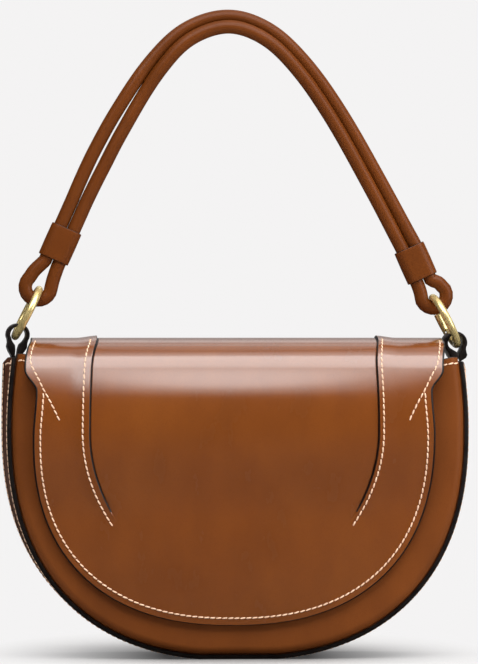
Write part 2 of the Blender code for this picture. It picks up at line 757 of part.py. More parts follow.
def tube(name, points, radius, kind, cyclic=False, sides=2):
    """A round bar along a line of points."""
    data = bpy.data.curves.new(name, "CURVE")
    data.dimensions = "3D"
    data.bevel_depth = radius
    data.bevel_resolution = sides
    data.use_fill_caps = not cyclic
    spline = data.splines.new("POLY")
    spline.points.add(len(points) - 1)
    for spot, point in zip(spline.points, points):
        spot.co = (*point, 1.0)
    spline.use_cyclic_u = cyclic
    return add(name, data, kind)


def on_ring(angle, radius=RING_R):
    """A point of the ring in its own frame: angle from the top towards the back."""
    return Vector((0.0, radius * math.sin(angle), radius * math.cos(angle)))


def arc_points(start, end, count, radius=RING_R):
    return [on_ring(lerp(start, end, i / (count - 1.0)), radius) for i in range(count)]


FORK_T = 2.2 * MM
TONGUE_T = 0.85 * MM
COIL_R = 0.95 * MM
COIL_WIRE = 0.12 * MM
PIN_ANGLE = GATE_TO + 0.19
JOINT_GAP = 0.36 * MM


def gate_ring(side, centre):
    """The open ring, its gate, the gate's pin and its torsion spring."""
    lean_y = RING_LEAN if side == "left" else -RING_LEAN
    place = Matrix.Translation(centre) @ Matrix.Rotation(lean_y, 4, "Y")
    nose = GATE_FROM + 2.0 * math.pi + 0.22
    body = tube(f"{side}_ring", arc_points(PIN_ANGLE - 0.09, nose, 43), WIRE_R, "brass")
    pin_at = on_ring(PIN_ANGLE)
    gate_place = place @ Matrix.Translation(pin_at)
    gate = tube(
        f"{side}_gate",
        [p - pin_at for p in arc_points(GATE_FROM - 0.22, PIN_ANGLE - 0.145, 10)],
        WIRE_R,
        "brass",
    )
    pin = tube(f"{side}_gate_pin", [(-1.85 * MM, 0.0, 0.0), (1.85 * MM, 0.0, 0.0)], PIN_R, "steel")
    count = 20
    coil = [(-0.78 * MM, -1.85 * MM, COIL_R)]
    for i in range(count + 1):
        a = 4.0 * math.pi * i / count
        coil.append((lerp(-0.78 * MM, -0.22 * MM, i / count), COIL_R * math.sin(a), COIL_R * math.cos(a)))
    coil.append((-0.22 * MM, 1.6 * MM, COIL_R))
    return body, gate, pin, coil, place, gate_place


def as_mesh(obj):
    """A curve object turned into a mesh object of the same name, so that Booleans can use it."""
    bpy.context.view_layer.update()
    graph = bpy.context.evaluated_depsgraph_get()
    data = bpy.data.meshes.new_from_object(obj.evaluated_get(graph))
    made = bmesh.new()
    made.from_mesh(data)
    bmesh.ops.remove_doubles(made, verts=made.verts, dist=0.000001)
    made.to_mesh(data)
    made.free()
    name = obj.name
    matrix = obj.matrix_world.copy()
    home = obj.users_collection[0]
    look = obj.data.materials[0]
    bpy.data.objects.remove(obj, do_unlink=True)
    new = bpy.data.objects.new(name, data)
    home.objects.link(new)
    new.matrix_world = matrix
    if not data.materials:
        data.materials.append(look)
    return new


def build_ring(side, centre):
    body, gate, pin, coil, place, gate_place = gate_ring(side, centre)
    body = as_mesh(body)
    gate = as_mesh(gate)
    body.matrix_world = place
    gate.matrix_world = gate_place
    pin.matrix_world = gate_place
    tilt = Matrix.Rotation(-PIN_ANGLE, 4, "X")
    slot_place = gate_place @ tilt
    fork = box(f"{side}_fork", (FORK_T, 8.0 * MM, 8.0 * MM), (0.0, -2.1 * MM, 0.0))
    fork.matrix_world = slot_place
    boolean(body, fork, "DIFFERENCE")
    chord = on_ring(GATE_FROM) - on_ring(PIN_ANGLE)
    reach = chord.length
    chord_place = gate_place @ Matrix.Rotation(-math.atan2(chord.y, chord.z), 4, "X")
    low = 4.0 * MM
    high = reach + JOINT_GAP / 2.0
    nose_cut = box(f"{side}_nose_cut", (8.0 * MM, 9.0 * MM, high - low), (0.0, 0.0, (high + low) / 2.0))
    nose_cut.matrix_world = chord_place
    boolean(body, nose_cut, "DIFFERENCE")
    tip_low = reach - JOINT_GAP / 2.0
    tip_cut = box(f"{side}_tip_cut", (8.0 * MM, 9.0 * MM, 8.0 * MM), (0.0, 0.0, tip_low + 4.0 * MM))
    tip_cut.matrix_world = chord_place
    boolean(gate, tip_cut, "DIFFERENCE")
    tongue = box(f"{side}_tongue", (TONGUE_T, 4.6 * MM, 2.8 * MM), (0.53 * MM, -1.1 * MM, 0.0))
    tongue.matrix_world = slot_place
    boolean(gate, tongue, "UNION")
    hole = rod(f"{side}_pin_hole", PIN_R + 0.15 * MM, 8.0 * MM, (0.0, 0.0, 0.0), 12)
    hole.matrix_world = gate_place @ Matrix.Rotation(math.radians(90.0), 4, "Y")
    boolean(gate, hole, "DIFFERENCE")
    boolean(body, hole, "DIFFERENCE")
    spring = tube(f"{side}_gate_spring", coil, COIL_WIRE, "steel", sides=0)
    spring.matrix_world = slot_place
    return body, gate, pin, spring


left_ring, left_gate, left_gate_pin, left_gate_spring = build_ring("left", LEFT_RING)
right_ring, right_gate, right_gate_pin, right_gate_spring = build_ring("right", RIGHT_RING)


def plate(name, loops, half_depth, kind):
    """A flat shape with holes, drawn in its own X-Y plane and extruded both ways along Z."""
    data = bpy.data.curves.new(name, "CURVE")
    data.dimensions = "2D"
    data.fill_mode = "BOTH"
    data.extrude = half_depth
    for loop in loops:
        spline = data.splines.new("POLY")
        spline.points.add(len(loop) - 1)
        for spot, (x, y) in zip(spline.points, loop):
            spot.co = (x, y, 0.0, 1.0)
        spline.use_cyclic_u = True
    return add(name, data, kind)


def circle(x, y, radius, start, end, count):
    angles = [lerp(start, end, i / count) for i in range(count)]
    return [(x + radius * math.cos(a), y + radius * math.sin(a)) for a in angles]


def side_half(v, z):
    """Half-width of the gusset's outside above SIDE_Z."""
    taper = lerp(FRONT_TAPER, BACK_TAPER, v) * ((z - SIDE_Z) / (GUSSET_TOP - SIDE_Z)) ** 2
    return lerp(FRONT_HALF, BACK_HALF, v) - taper - GUSSET_SAG * 4.0 * v * (1.0 - v)


def flare(z):
    """How fast the gusset widens towards the back, at height z."""
    return (side_half(0.6, z) - side_half(0.4, z)) / (y_at(0.6, z) - y_at(0.4, z))


def tab(side, ring_centre):
    """A leather loop round the ring's lower wire, its stem between the gusset and its lining."""
    sign = -1.0 if side == "left" else 1.0
    hx = abs(ring_centre.x) + TAB_HOLE_OUT
    hz = ring_centre.z - TAB_HOLE_DROP
    between = (GUSSET_T + LAP + GUSSET_T + 2.0 * GAP) / 2.0

    def wall(z):
        return side_half(0.5, z) - between

    outer_r = TAB_HOLE_R + TAB_T
    loop = circle(hx, hz, outer_r, math.radians(-25.0), math.radians(215.0), 22)
    neck_in = wall(GUSSET_TOP) - 2.6 * MM
    loop += [
        (hx - outer_r * 0.62, hz - outer_r * 0.95),
        (neck_in, GUSSET_TOP + 3.0 * MM),
        (wall(GUSSET_TOP) - STEM_T / 2.0, GUSSET_TOP - 0.4 * MM),
        (wall(152.0 * MM) - STEM_T / 2.0, 152.0 * MM),
        (wall(STEM_LOW) - STEM_T / 2.0, STEM_LOW),
        (wall(STEM_LOW) + STEM_T / 2.0, STEM_LOW),
        (wall(152.0 * MM) + STEM_T / 2.0, 152.0 * MM),
        (wall(GUSSET_TOP) + STEM_T / 2.0, GUSSET_TOP + 0.4 * MM),
        (wall(GUSSET_TOP) + 2.0 * MM, GUSSET_TOP + 2.0 * MM),
    ]
    hole = circle(hx, hz, TAB_HOLE_R, 0.0, -2.0 * math.pi, 22)
    if sign < 0:
        loop = [(-x, z) for x, z in loop]
        hole = [(-x, z) for x, z in hole]
    made = plate(f"{side}_tab", (loop, hole), TAB_HALF_WIDTH, "leather")
    made = as_mesh(made)
    for vertex in made.data.vertices:
        x, z, back = vertex.co
        lie = 1.0 - float(smooth((z - GUSSET_TOP) / (4.0 * MM)))
        vertex.co.x = x - sign * back * flare(min(z, GUSSET_TOP)) * lie
    made.matrix_world = Matrix.Rotation(math.radians(90.0), 4, "X")
    return made


left_tab = tab("left", LEFT_RING)
right_tab = tab("right", RIGHT_RING)

# Handle: the endless cord and its two keepers


def keeper_axis(side):
    lean_x = math.sin(KEEPER_LEAN) * (1.0 if side == "left" else -1.0)
    return np.array([lean_x, 0.0, math.cos(KEEPER_LEAN)])


def eye(side, ring_centre, keeper):
    """Centre line of the cord's eye: down one strand, round under the ring's upper wire, up the other."""
    sign = 1.0 if side == "left" else -1.0
    top = np.array(ring_centre) + RING_R * np.array([sign * math.sin(RING_LEAN), 0.0, math.cos(RING_LEAN)])
    up = keeper_axis(side)
    start = np.array(keeper) - up * (KEEPER_LENGTH / 2.0)
    axis = start - top
    axis /= np.linalg.norm(axis)
    out = np.array([-axis[2], 0.0, axis[0]]) * sign
    foot = top - axis * (WIRE_R + CORD_R + 0.35 * MM) + out * EYE_SHIFT
    centre = foot + axis * EYE_HALF
    spread = CORD_R + 0.15 * MM
    out_up = np.array([-up[2], 0.0, up[0]]) * sign
    outer = []
    inner = []
    for rise in (KEEPER_LENGTH * 0.66, KEEPER_LENGTH * 0.33, 0.0, -2.2 * MM):
        outer.append(start + up * rise + out_up * spread)
        inner.append(start + up * rise - out_up * spread)
    length = float(np.dot(start - centre, axis))
    for share in (0.45, 0.2):
        wide = lerp(EYE_HALF, spread, float(smooth(share)))
        outer.append(centre + axis * length * share + out * wide)
        inner.append(centre + axis * length * share - out * wide)
    arc = []
    for a in np.linspace(0.0, math.pi, 11):
        arc.append(centre + EYE_HALF * (math.cos(a) * out - math.sin(a) * axis))
    return outer, arc, inner


left_outer, left_arc, left_inner = eye("left", LEFT_RING, LEFT_KEEPER)
right_outer, right_arc, right_inner = eye("right", RIGHT_RING, RIGHT_KEEPER)
left_start = np.array(LEFT_KEEPER) + keeper_axis("left") * KEEPER_LENGTH / 2.0
right_start = np.array(RIGHT_KEEPER) + keeper_axis("right") * KEEPER_LENGTH / 2.0
arch_points = [(left_start[0], left_start[2]), *ARCH, (right_start[0], right_start[2])]
middle_line = catmull(arch_points, 41)
tangent = np.gradient(middle_line, axis=0)
tangent /= np.linalg.norm(tangent, axis=1)[:, None]
upward = np.stack([-tangent[:, 1], tangent[:, 0]], axis=1)
upper = []
lower = []
for k, (spot, up) in enumerate(zip(middle_line, upward)):
    share = k / (len(middle_line) - 1.0)
    over = math.sin(math.pi * share) ** 2
    over = float(smooth(over * 1.3 - 0.15))
    drop = lerp(CORD_R + 0.15 * MM, CROWN_DROP + 0.12 * MM, over)
    side_y = CROWN_SPREAD * over
    upper.append(np.array([spot[0] + up[0] * drop, side_y, spot[1] + up[1] * drop]))
    lower.append(np.array([spot[0] - up[0] * drop, -side_y, spot[1] - up[1] * drop]))
path = list(upper) + right_outer + right_arc + right_inner[::-1] + lower[::-1]
path += left_inner + left_arc[::-1] + left_outer[::-1]
clean = [path[0]]
for point in path[1:]:
    if np.linalg.norm(point - clean[-1]) > 0.8 * MM:
        clean.append(point)


def even_line(points, step):
    """A closed line of points spaced evenly, rounded by a curve through the given ones."""
    pts = np.array(points)
    count = len(pts)
    made = []
    for i in range(count):
        a, b, c, d = pts[i - 1], pts[i], pts[(i + 1) % count], pts[(i + 2) % count]
        parts = max(1, int(round(np.linalg.norm(c - b) / step)))
        for f in np.arange(parts) / parts:
            made.append(between(a, b, c, d, f))
    return made


handle_cord = tube("handle_cord", even_line(clean, 5.5 * MM), CORD_R, "leather", cyclic=True, sides=2)


def stadium(half_length, radius, count):
    right_end = circle(half_length, 0.0, radius, -math.pi / 2.0, math.pi / 2.0, count)
    right_end.append((half_length, radius))
    left_end = circle(-half_length, 0.0, radius, math.pi / 2.0, 1.5 * math.pi, count)
    left_end.append((-half_length, -radius))
    return right_end + left_end


def keeper(side, centre):
    """A leather sleeve round both strands."""
    lean_y = KEEPER_LEAN if side == "left" else -KEEPER_LEAN
    reach = CORD_R + 0.15 * MM
    loops = (
        stadium(reach, CORD_R + GAP + KEEPER_T, 8),
        stadium(reach, CORD_R + GAP, 8)[::-1],
    )
    made = plate(f"{side}_keeper", loops, KEEPER_LENGTH / 2.0, "leather")
    made.matrix_world = Matrix.Translation(centre) @ Matrix.Rotation(lean_y, 4, "Y")
    return made


left_keeper = keeper("left", LEFT_KEEPER)
right_keeper = keeper("right", RIGHT_KEEPER)


# Origin: one empty carries everything, and puts the middle of the whole depth on y = 0
origin = bpy.data.objects.new("bag_origin", None)
bag.objects.link(origin)
bpy.context.view_layer.update()
graph = bpy.context.evaluated_depsgraph_get()
depths = []
for obj in bag.objects:
    if obj is origin:
        continue
    shape = obj.evaluated_get(graph)
    mesh = shape.to_mesh()
    for vertex in mesh.vertices:
        depths.append((shape.matrix_world @ vertex.co).y)
    shape.to_mesh_clear()
origin.location.y = -(min(depths) + max(depths)) / 2.0


def pivot(name, spot, groups):
    """An empty on a joint's axis that carries the pieces that turn about it."""
    made = bpy.data.objects.new(name, None)
    bag.objects.link(made)
    made.parent = origin
    made.location = spot
    for piece in groups:
        piece.parent = made
        piece.matrix_parent_inverse = Matrix.Translation(-Vector(spot))


swing_spot = (LEFT_RING + RIGHT_RING) / 2.0
pivot("flap_top_pivot", (0.0, HINGE_BACK_Y + 0.1 * MM, BACK_HINGE_Z), (flap_crown, crown_lining))
front_pieces = (flap_panel, flap_stiffener, flap_lining, snap_male, snap_male_washer)
pivot("flap_front_pivot", (0.0, HINGE_FRONT_Y - DART_RISE - 0.1 * MM, FRONT_HINGE_Z), front_pieces)
pivot("handle_pivot", swing_spot, (handle_cord, left_keeper, right_keeper))
for obj in list(bag.objects) + list(cutters.objects):
    if obj is not origin and obj.parent is None:
        obj.parent = origin
for obj in bag.objects:
    if obj.type == "MESH":
        obj.data.shade_smooth()
        obj.data.set_sharp_from_angle(angle=math.radians(35.0))
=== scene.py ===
# %% [markdown]
# # Half moon bag
# A small structured leather bag: a half-moon front and back, a gusset strip that joins them round the
# sides and base, a big flap with two darts, and a doubled round cord that hangs from two brass rings.
# The rigid frame (joints, boards, snap, pins and springs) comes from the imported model. This script
# dresses it.
# Every length is in metres, so MM turns a maker's millimetres into them.

# %% Load the frame
import math

import bmesh
import bpy
import numpy as np
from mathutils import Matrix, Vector


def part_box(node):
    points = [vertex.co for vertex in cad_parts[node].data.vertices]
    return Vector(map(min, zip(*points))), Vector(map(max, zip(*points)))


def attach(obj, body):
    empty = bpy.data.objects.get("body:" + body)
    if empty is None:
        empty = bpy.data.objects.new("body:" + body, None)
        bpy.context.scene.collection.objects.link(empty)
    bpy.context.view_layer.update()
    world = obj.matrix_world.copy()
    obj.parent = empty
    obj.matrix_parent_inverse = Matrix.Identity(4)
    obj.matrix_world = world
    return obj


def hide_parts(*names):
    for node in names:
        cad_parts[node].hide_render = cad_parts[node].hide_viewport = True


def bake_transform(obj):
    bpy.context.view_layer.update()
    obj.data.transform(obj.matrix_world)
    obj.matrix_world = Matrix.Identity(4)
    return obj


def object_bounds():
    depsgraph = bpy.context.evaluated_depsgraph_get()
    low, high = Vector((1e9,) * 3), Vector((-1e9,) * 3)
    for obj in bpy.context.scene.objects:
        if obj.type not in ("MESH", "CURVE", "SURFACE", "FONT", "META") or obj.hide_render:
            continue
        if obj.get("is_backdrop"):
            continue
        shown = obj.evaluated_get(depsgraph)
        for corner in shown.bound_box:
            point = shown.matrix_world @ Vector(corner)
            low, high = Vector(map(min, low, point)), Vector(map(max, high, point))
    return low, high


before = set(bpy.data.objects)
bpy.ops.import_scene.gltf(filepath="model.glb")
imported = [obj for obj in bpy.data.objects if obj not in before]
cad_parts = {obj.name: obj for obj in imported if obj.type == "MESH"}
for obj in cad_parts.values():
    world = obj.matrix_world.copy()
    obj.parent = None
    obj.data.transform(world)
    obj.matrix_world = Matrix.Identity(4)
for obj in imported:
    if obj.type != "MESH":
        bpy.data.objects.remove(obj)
cad_low, cad_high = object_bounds()
MM = 0.001
BASE_DEPTH = 64.0 * MM
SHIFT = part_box("gusset")[0].y + BASE_DEPTH / 2.0

# %% [markdown]
# ## Small helpers
# A soft step and a straight blend are enough to shape most leather: they say where a swell begins and
# where it has died away. A smooth curve through a few measured points carries the flap's arch and the cord.

# %% Blends and curves


def lerp(a, b, t):
    """a + (b - a) * t."""
    return a + (b - a) * t


def smooth(t):
    """3 t^2 - 2 t^3 with t held between 0 and 1: a step with no corners."""
    t = np.clip(t, 0.0, 1.0)
    return t * t * (3.0 - 2.0 * t)


def onset(value, start, length):
    """0 up to the start, 1 from a length further on, and a soft step between them."""
    return smooth((value - start) / length)


def between(a, b, c, d, f):
    """The smooth curve from b to c at share f of the way, with a before them and d after.

    (2b + (c - a) f + (2a - 5b + 4c - d) f^2 + (3b - a - 3c + d) f^3) / 2."""
    second = 2.0 * a - 5.0 * b + 4.0 * c - d
    third = 3.0 * b - a - 3.0 * c + d
    return 0.5 * (2.0 * b + (c - a) * f + second * f**2 + third * f**3)


def through(points, shares):
    """Points at these shares (0 to 1) of a smooth curve through the given ones."""
    pts = np.array(points, dtype=float)
    pts = np.vstack([2.0 * pts[0] - pts[1], pts, 2.0 * pts[-1] - pts[-2]])
    t = np.asarray(shares, dtype=float) * (len(points) - 1.0)
    i = np.clip(t.astype(int), 0, len(points) - 2)
    return between(pts[i], pts[i + 1], pts[i + 2], pts[i + 3], (t - i)[:, None])


TINY = 1e-13


def along(line):
    """Distance travelled at each point of a line."""
    return np.concatenate([[0.0], np.cumsum(np.linalg.norm(np.diff(line, axis=0), axis=1))])


def read_at(travelled, values, at):
    """Rows of values known at the distances travelled, read at other distances."""
    return np.stack([np.interp(at, travelled, values[:, k]) for k in range(values.shape[1])], axis=1)


def resample(line, at):
    """The line's points at the distances given."""
    return read_at(along(line), line, at)


def unit(vectors):
    """Each vector divided by its length."""
    return vectors / np.maximum(np.linalg.norm(vectors, axis=-1, keepdims=True), TINY)


print("soft step at a quarter:", float(smooth(0.25)))

# %% [markdown]
# ## The body's outline
# Seen from the front the bag is a half moon: straight, gently tapering sides above a deep round base.
# A superellipse, |x / h|^n + |z / b|^n = 1, gives that full, slightly squared curve with one number n.
# The front is narrower than the back, so the outline also depends on the depth v, 0 in front and 1 behind.

# %% Outline and depth
FRONT_HALF = 127.5 * MM
BACK_HALF = 131.5 * MM
FRONT_TAPER = 2.8 * MM
BACK_TAPER = 0.6 * MM
SIDE_Z = 127.7 * MM
ROUNDNESS = 2.37
BASE_FLAT_HALF = 22.0 * MM
GUSSET_TOP = 163.0 * MM
FRONT_TOP = 165.2 * MM
BACK_TOP = 163.2 * MM
TOP_DEPTH = 54.0 * MM
END_SHARE = 0.25
SIDE_STEPS = 24
ARC_STEPS = 90
BASE_STEPS = 7
SINK = 0.8 * MM


def lean(z):
    """Half the body's depth at height z; the bag is slimmer at the top."""
    return lerp(BASE_DEPTH, TOP_DEPTH, z / FRONT_TOP) / 2.0


def y_at(v, z):
    """Depth coordinate of share v at height z, in true distances near either face."""
    front = -lean(z) + np.minimum(v, END_SHARE) * BASE_DEPTH
    back = lean(z) - np.minimum(1.0 - v, END_SHARE) * BASE_DEPTH
    return lerp(front, back, np.clip((v - END_SHARE) / (1.0 - 2.0 * END_SHARE), 0.0, 1.0))


def outline(v, top, inset):
    """Points (x, z) round the body at depth v from its left top to its right top, moved inwards by inset."""
    half = lerp(FRONT_HALF, BACK_HALF, v)
    taper = lerp(FRONT_TAPER, BACK_TAPER, v)
    n = ROUNDNESS
    drop = SIDE_Z / (1.0 - (BASE_FLAT_HALF / half) ** n) ** (1.0 / n)
    z = np.linspace(top, SIDE_Z, SIDE_STEPS + 1)
    side = np.stack([half - taper * ((z - SIDE_Z) / (GUSSET_TOP - SIDE_Z)) ** 2, z], axis=1)
    end = math.asin((SIDE_Z / drop) ** (n / 2.0))
    angle = np.linspace(0.0, end, ARC_STEPS + 1)[1:]
    ax = half * np.cos(angle) ** (2.0 / n)
    az = drop * np.sin(angle) ** (2.0 / n)
    slope = unit(np.stack([-(ax ** (n - 1.0)) / half**n, az ** (n - 1.0) / drop**n], axis=1))
    flat = np.linspace(ax[-1], 0.0, BASE_STEPS + 1)[1:]
    right = np.concatenate([side, np.stack([ax, SIDE_Z - az], axis=1), np.stack([flat, 0.0 * flat], axis=1)])
    inward = np.concatenate([[(-1.0, 0.0)] * len(side), slope, [(0.0, 1.0)] * len(flat)])
    moved = right + inward * np.asarray(inset).reshape(-1, 1)
    return np.concatenate([moved[:-1] * [-1.0, 1.0], moved[::-1]])


def hollow(v):
    """How far the gusset sinks between its two edges: most at the open top, nothing on the base."""
    count = SIDE_STEPS + ARC_STEPS + BASE_STEPS + 1
    share = np.linspace(1.0, 0.0, count)
    return SINK * smooth(share * 1.4 - 0.3) * max(0.0, 4.0 * v * (1.0 - v))


def row_at(flat, v):
    """Outline points (x, z) as points in space, at depth share v."""
    return np.stack([flat[:, 0], y_at(v, flat[:, 1]) + SHIFT, flat[:, 1]], axis=1)


def loft(stations, top):
    """One row of points for each (v, inset), each row an outline at its own depth."""
    return np.array([row_at(outline(v, top, inset + hollow(v)), v) for v, inset in stations])


def fan(v, inset, top, shares):
    """A flat face: the outline drawn in towards the middle of its own top edge by each share."""
    edge = outline(v, top, inset)
    pole = np.array([0.0, top])
    return np.array([row_at(pole + share * (edge - pole), v) for share in shares])


print("outline points:", len(outline(0.0, FRONT_TOP, 0.0)))

# %% [markdown]
# ## From a grid to a piece of leather
# A leather part is a sheet with a thickness and a cut edge that is sanded round and painted.
# It could be a flat grid with a Solidify modifier, but then the edge would be square. Here the outer
# face, the inner face and a half-round edge are one closed surface. Its points carry a mark called paint,
# and a face whose corners are all marked takes the edge paint as its material.

# %% Closed sheets with round painted edges
CENTRE = np.array([0.0, SHIFT, 85.0 * MM])
EDGE_TURNS = 6
EDGE_BULGE = 0.45 * MM
SAME_SPOT = 1e-7
WELD = 2e-6


def normals_of(grid):
    """Unit normals of a grid, from the cross product of its two directions, turned away from the centre."""
    normal = unit(np.cross(np.gradient(grid, axis=0), np.gradient(grid, axis=1)))
    for end, beside in ((0, 1), (-1, -2)):
        if np.ptp(grid[end], axis=0).max() < SAME_SPOT:
            normal[end] = normal[beside].mean(axis=0)
    normal = unit(normal)
    return normal * np.sign((normal * (grid - CENTRE)).sum(axis=2).mean())


def moved_in(grid, depth):
    """The grid moved inwards along its normals by a depth, one number or one per point."""
    depth = np.asarray(depth, dtype=float)
    return grid - normals_of(grid) * (depth[..., None] if depth.ndim else depth)


def quads_of(rows, columns, closed=False):
    """Four corner indices for each cell of a grid; a closed grid joins its last column to its first."""
    index = np.arange(rows * columns).reshape(rows, columns)
    right = np.roll(index, -1, axis=1) if closed else index[:, 1:]
    left = index if closed else index[:, :-1]
    return np.stack([left[:-1], right[:-1], right[1:], left[1:]], axis=-1).reshape(-1, 4)


def volume_of(points, quads):
    """Six times the signed volume: the sum of a . (b x c) over the triangles."""
    a, b, c, d = (points[quads[:, k]] for k in range(4))
    return float((a * np.cross(b, c)).sum() + (a * np.cross(c, d)).sum())


def new_object(name, points, faces, *looks):
    """A mesh object at the origin, in the scene."""
    data = bpy.data.meshes.new(name)
    data.from_pydata(points.tolist(), [], faces.tolist())
    for look in looks:
        data.materials.append(look)
    made = bpy.data.objects.new(name, data)
    bpy.context.scene.collection.objects.link(made)
    return made


def make_piece(name, points, quads, look, paint=None, sharp=40.0):
    """A piece whose points are joined where they coincide and whose faces point outwards.

    Faces whose four corners are all painted take the edge paint instead of the leather."""
    if volume_of(points, quads) < 0.0:
        quads = quads[:, ::-1]
    piece = new_object(name, points, quads, look)
    data = piece.data
    if paint is not None:
        data.materials.append(edge_paint)
        painted = np.asarray(paint)[quads].min(axis=1) > 0.5
        data.polygons.foreach_set("material_index", painted.astype(np.int32))
    welded = bmesh.new()
    welded.from_mesh(data)
    bmesh.ops.remove_doubles(welded, verts=welded.verts, dist=WELD)
    welded.to_mesh(data)
    welded.free()
    data.shade_smooth()
    data.set_sharp_from_angle(angle=math.radians(sharp))
    return piece


def border_of(grid):
    """Indices round a grid's border, without repeats where a row is drawn together to one point."""
    rows, columns = grid.shape[:2]
    index = np.arange(rows * columns).reshape(rows, columns)
    ring = np.concatenate([index[0, :-1], index[:-1, -1], index[-1, :0:-1], index[:0:-1, 0]])
    spots = grid.reshape(-1, 3)[ring]
    return ring[np.linalg.norm(spots - np.roll(spots, 1, axis=0), axis=1) > WELD]


def leather_sheet(name, outer, thickness, look, slot, bulge=EDGE_BULGE, paint=None, edge_painted=True):
    """A closed sheet under an outer grid, with a half-round edge.

    Edge at angle a: middle of the cut + normal * t / 2 * cos(a) + outward * bulge * sin(a)."""
    normal = normals_of(outer)
    count = outer.shape[0] * outer.shape[1]
    face = outer.reshape(-1, 3)
    back = (outer - normal * thickness).reshape(-1, 3)
    ring = border_of(outer)
    n = normal.reshape(-1, 3)[ring]
    spot = face[ring]
    ahead = np.roll(spot, -1, axis=0) - np.roll(spot, 1, axis=0)
    out = unit(np.cross(ahead, n))
    out *= np.sign((out * (spot - face.mean(axis=0))).sum())
    angle = np.linspace(0.0, math.pi, EDGE_TURNS + 1)[1:-1]
    middle = spot - n * thickness / 2.0
    rim = [middle + n * thickness / 2.0 * math.cos(a) + out * bulge * math.sin(a) for a in angle]
    points = np.concatenate([face, back] + rim)
    front_quads = quads_of(*outer.shape[:2])
    size = len(ring)
    levels = [ring] + [2 * count + k * size + np.arange(size) for k in range(len(angle))] + [ring + count]
    joined = [
        np.stack([a, np.roll(a, -1), np.roll(b, -1), b], axis=1) for a, b in zip(levels[:-1], levels[1:])
    ]
    way = direction_of(front_quads, ring)
    walls = np.concatenate(joined)
    quads = np.concatenate([front_quads, front_quads[:, ::-1] + count, walls if way else walls[:, ::-1]])
    marks = np.zeros(len(points))
    if paint is not None:
        marks[:count] = np.asarray(paint).ravel()
    marks[2 * count :] = 1.0
    marks[ring] = 1.0
    return make_piece(name, points, quads, look, marks if edge_painted else None)


def direction_of(quads, ring):
    """True where the border runs against the direction of the first face that it touches."""
    here, after = int(ring[1]), int(ring[2])
    for corners in quads[(quads == here).any(axis=1) & (quads == after).any(axis=1)]:
        spot = list(corners).index(here)
        return corners[(spot + 1) % 4] != after
    return True


print("a 3 by 4 grid has", len(quads_of(3, 4)), "cells")

# %% [markdown]
# ## Leather, suede and edge paint
# The real leather is smooth calf, dyed through and lightly waxed, so its brown shifts a little from place
# to place and darkens where it was handled. The pattern could be an image; here it is layers of noise on
# Object coordinates, at the sizes that the real marks have: clouds of 70 mm, streaks of 17 mm, and pores
# under 1 mm.

# %% Node helpers, leather, suede and edge paint


def feed(tree, made, sockets):
    """Sets sockets of a node, each to a plain value or to a link from another node."""
    for key, value in sockets.items():
        if isinstance(value, bpy.types.NodeSocket):
            tree.links.new(value, made.inputs[key])
        else:
            made.inputs[key].default_value = value


def node(tree, kind, sockets=None, **values):
    """A shader node with its plain properties and its sockets set."""
    made = tree.nodes.new(kind)
    for name, value in values.items():
        setattr(made, name, value)
    feed(tree, made, sockets or {})
    return made


def new_material(name):
    """A material, its nodes, its main shader and the object's coordinates."""
    made = bpy.data.materials.new(name)
    made.use_nodes = True
    tree = made.node_tree
    spot = node(tree, "ShaderNodeTexCoord").outputs["Object"]
    return made, tree, tree.nodes["Principled BSDF"], spot


def colour(hexed):
    """A colour written as on a screen, turned into linear light."""
    made = []
    for k in (0, 2, 4):
        c = int(hexed[k : k + 2], 16) / 255.0
        made.append(c / 12.92 if c <= 0.04045 else ((c + 0.055) / 1.055) ** 2.4)
    return (*made, 1.0)


def noise(tree, spot, scale, detail=3.0, roughness=0.55, stretch=(1.0, 1.0, 1.0)):
    place = node(tree, "ShaderNodeMapping", {"Vector": spot, "Scale": stretch}).outputs["Vector"]
    sockets = {"Vector": place, "Scale": scale, "Detail": detail, "Roughness": roughness}
    return node(tree, "ShaderNodeTexNoise", sockets).outputs["Fac"]


def mix_colours(tree, share, a, b):
    return node(tree, "ShaderNodeMix", {0: share, 6: a, 7: b}, data_type="RGBA").outputs[2]


def ramp(tree, value, low, high, first=0.0, last=1.0):
    """A straight change from first to last while the value goes from low to high."""
    sockets = {"Value": value, "From Min": low, "From Max": high, "To Min": first, "To Max": last}
    return node(tree, "ShaderNodeMapRange", sockets).outputs["Result"]


def maths(tree, operation, a, b):
    return node(tree, "ShaderNodeMath", {0: a, 1: b}, operation=operation).outputs["Value"]


def bump(tree, height, distance, strength, **before):
    sockets = {"Distance": distance, "Strength": strength, "Height": height, **before}
    return node(tree, "ShaderNodeBump", sockets).outputs["Normal"]


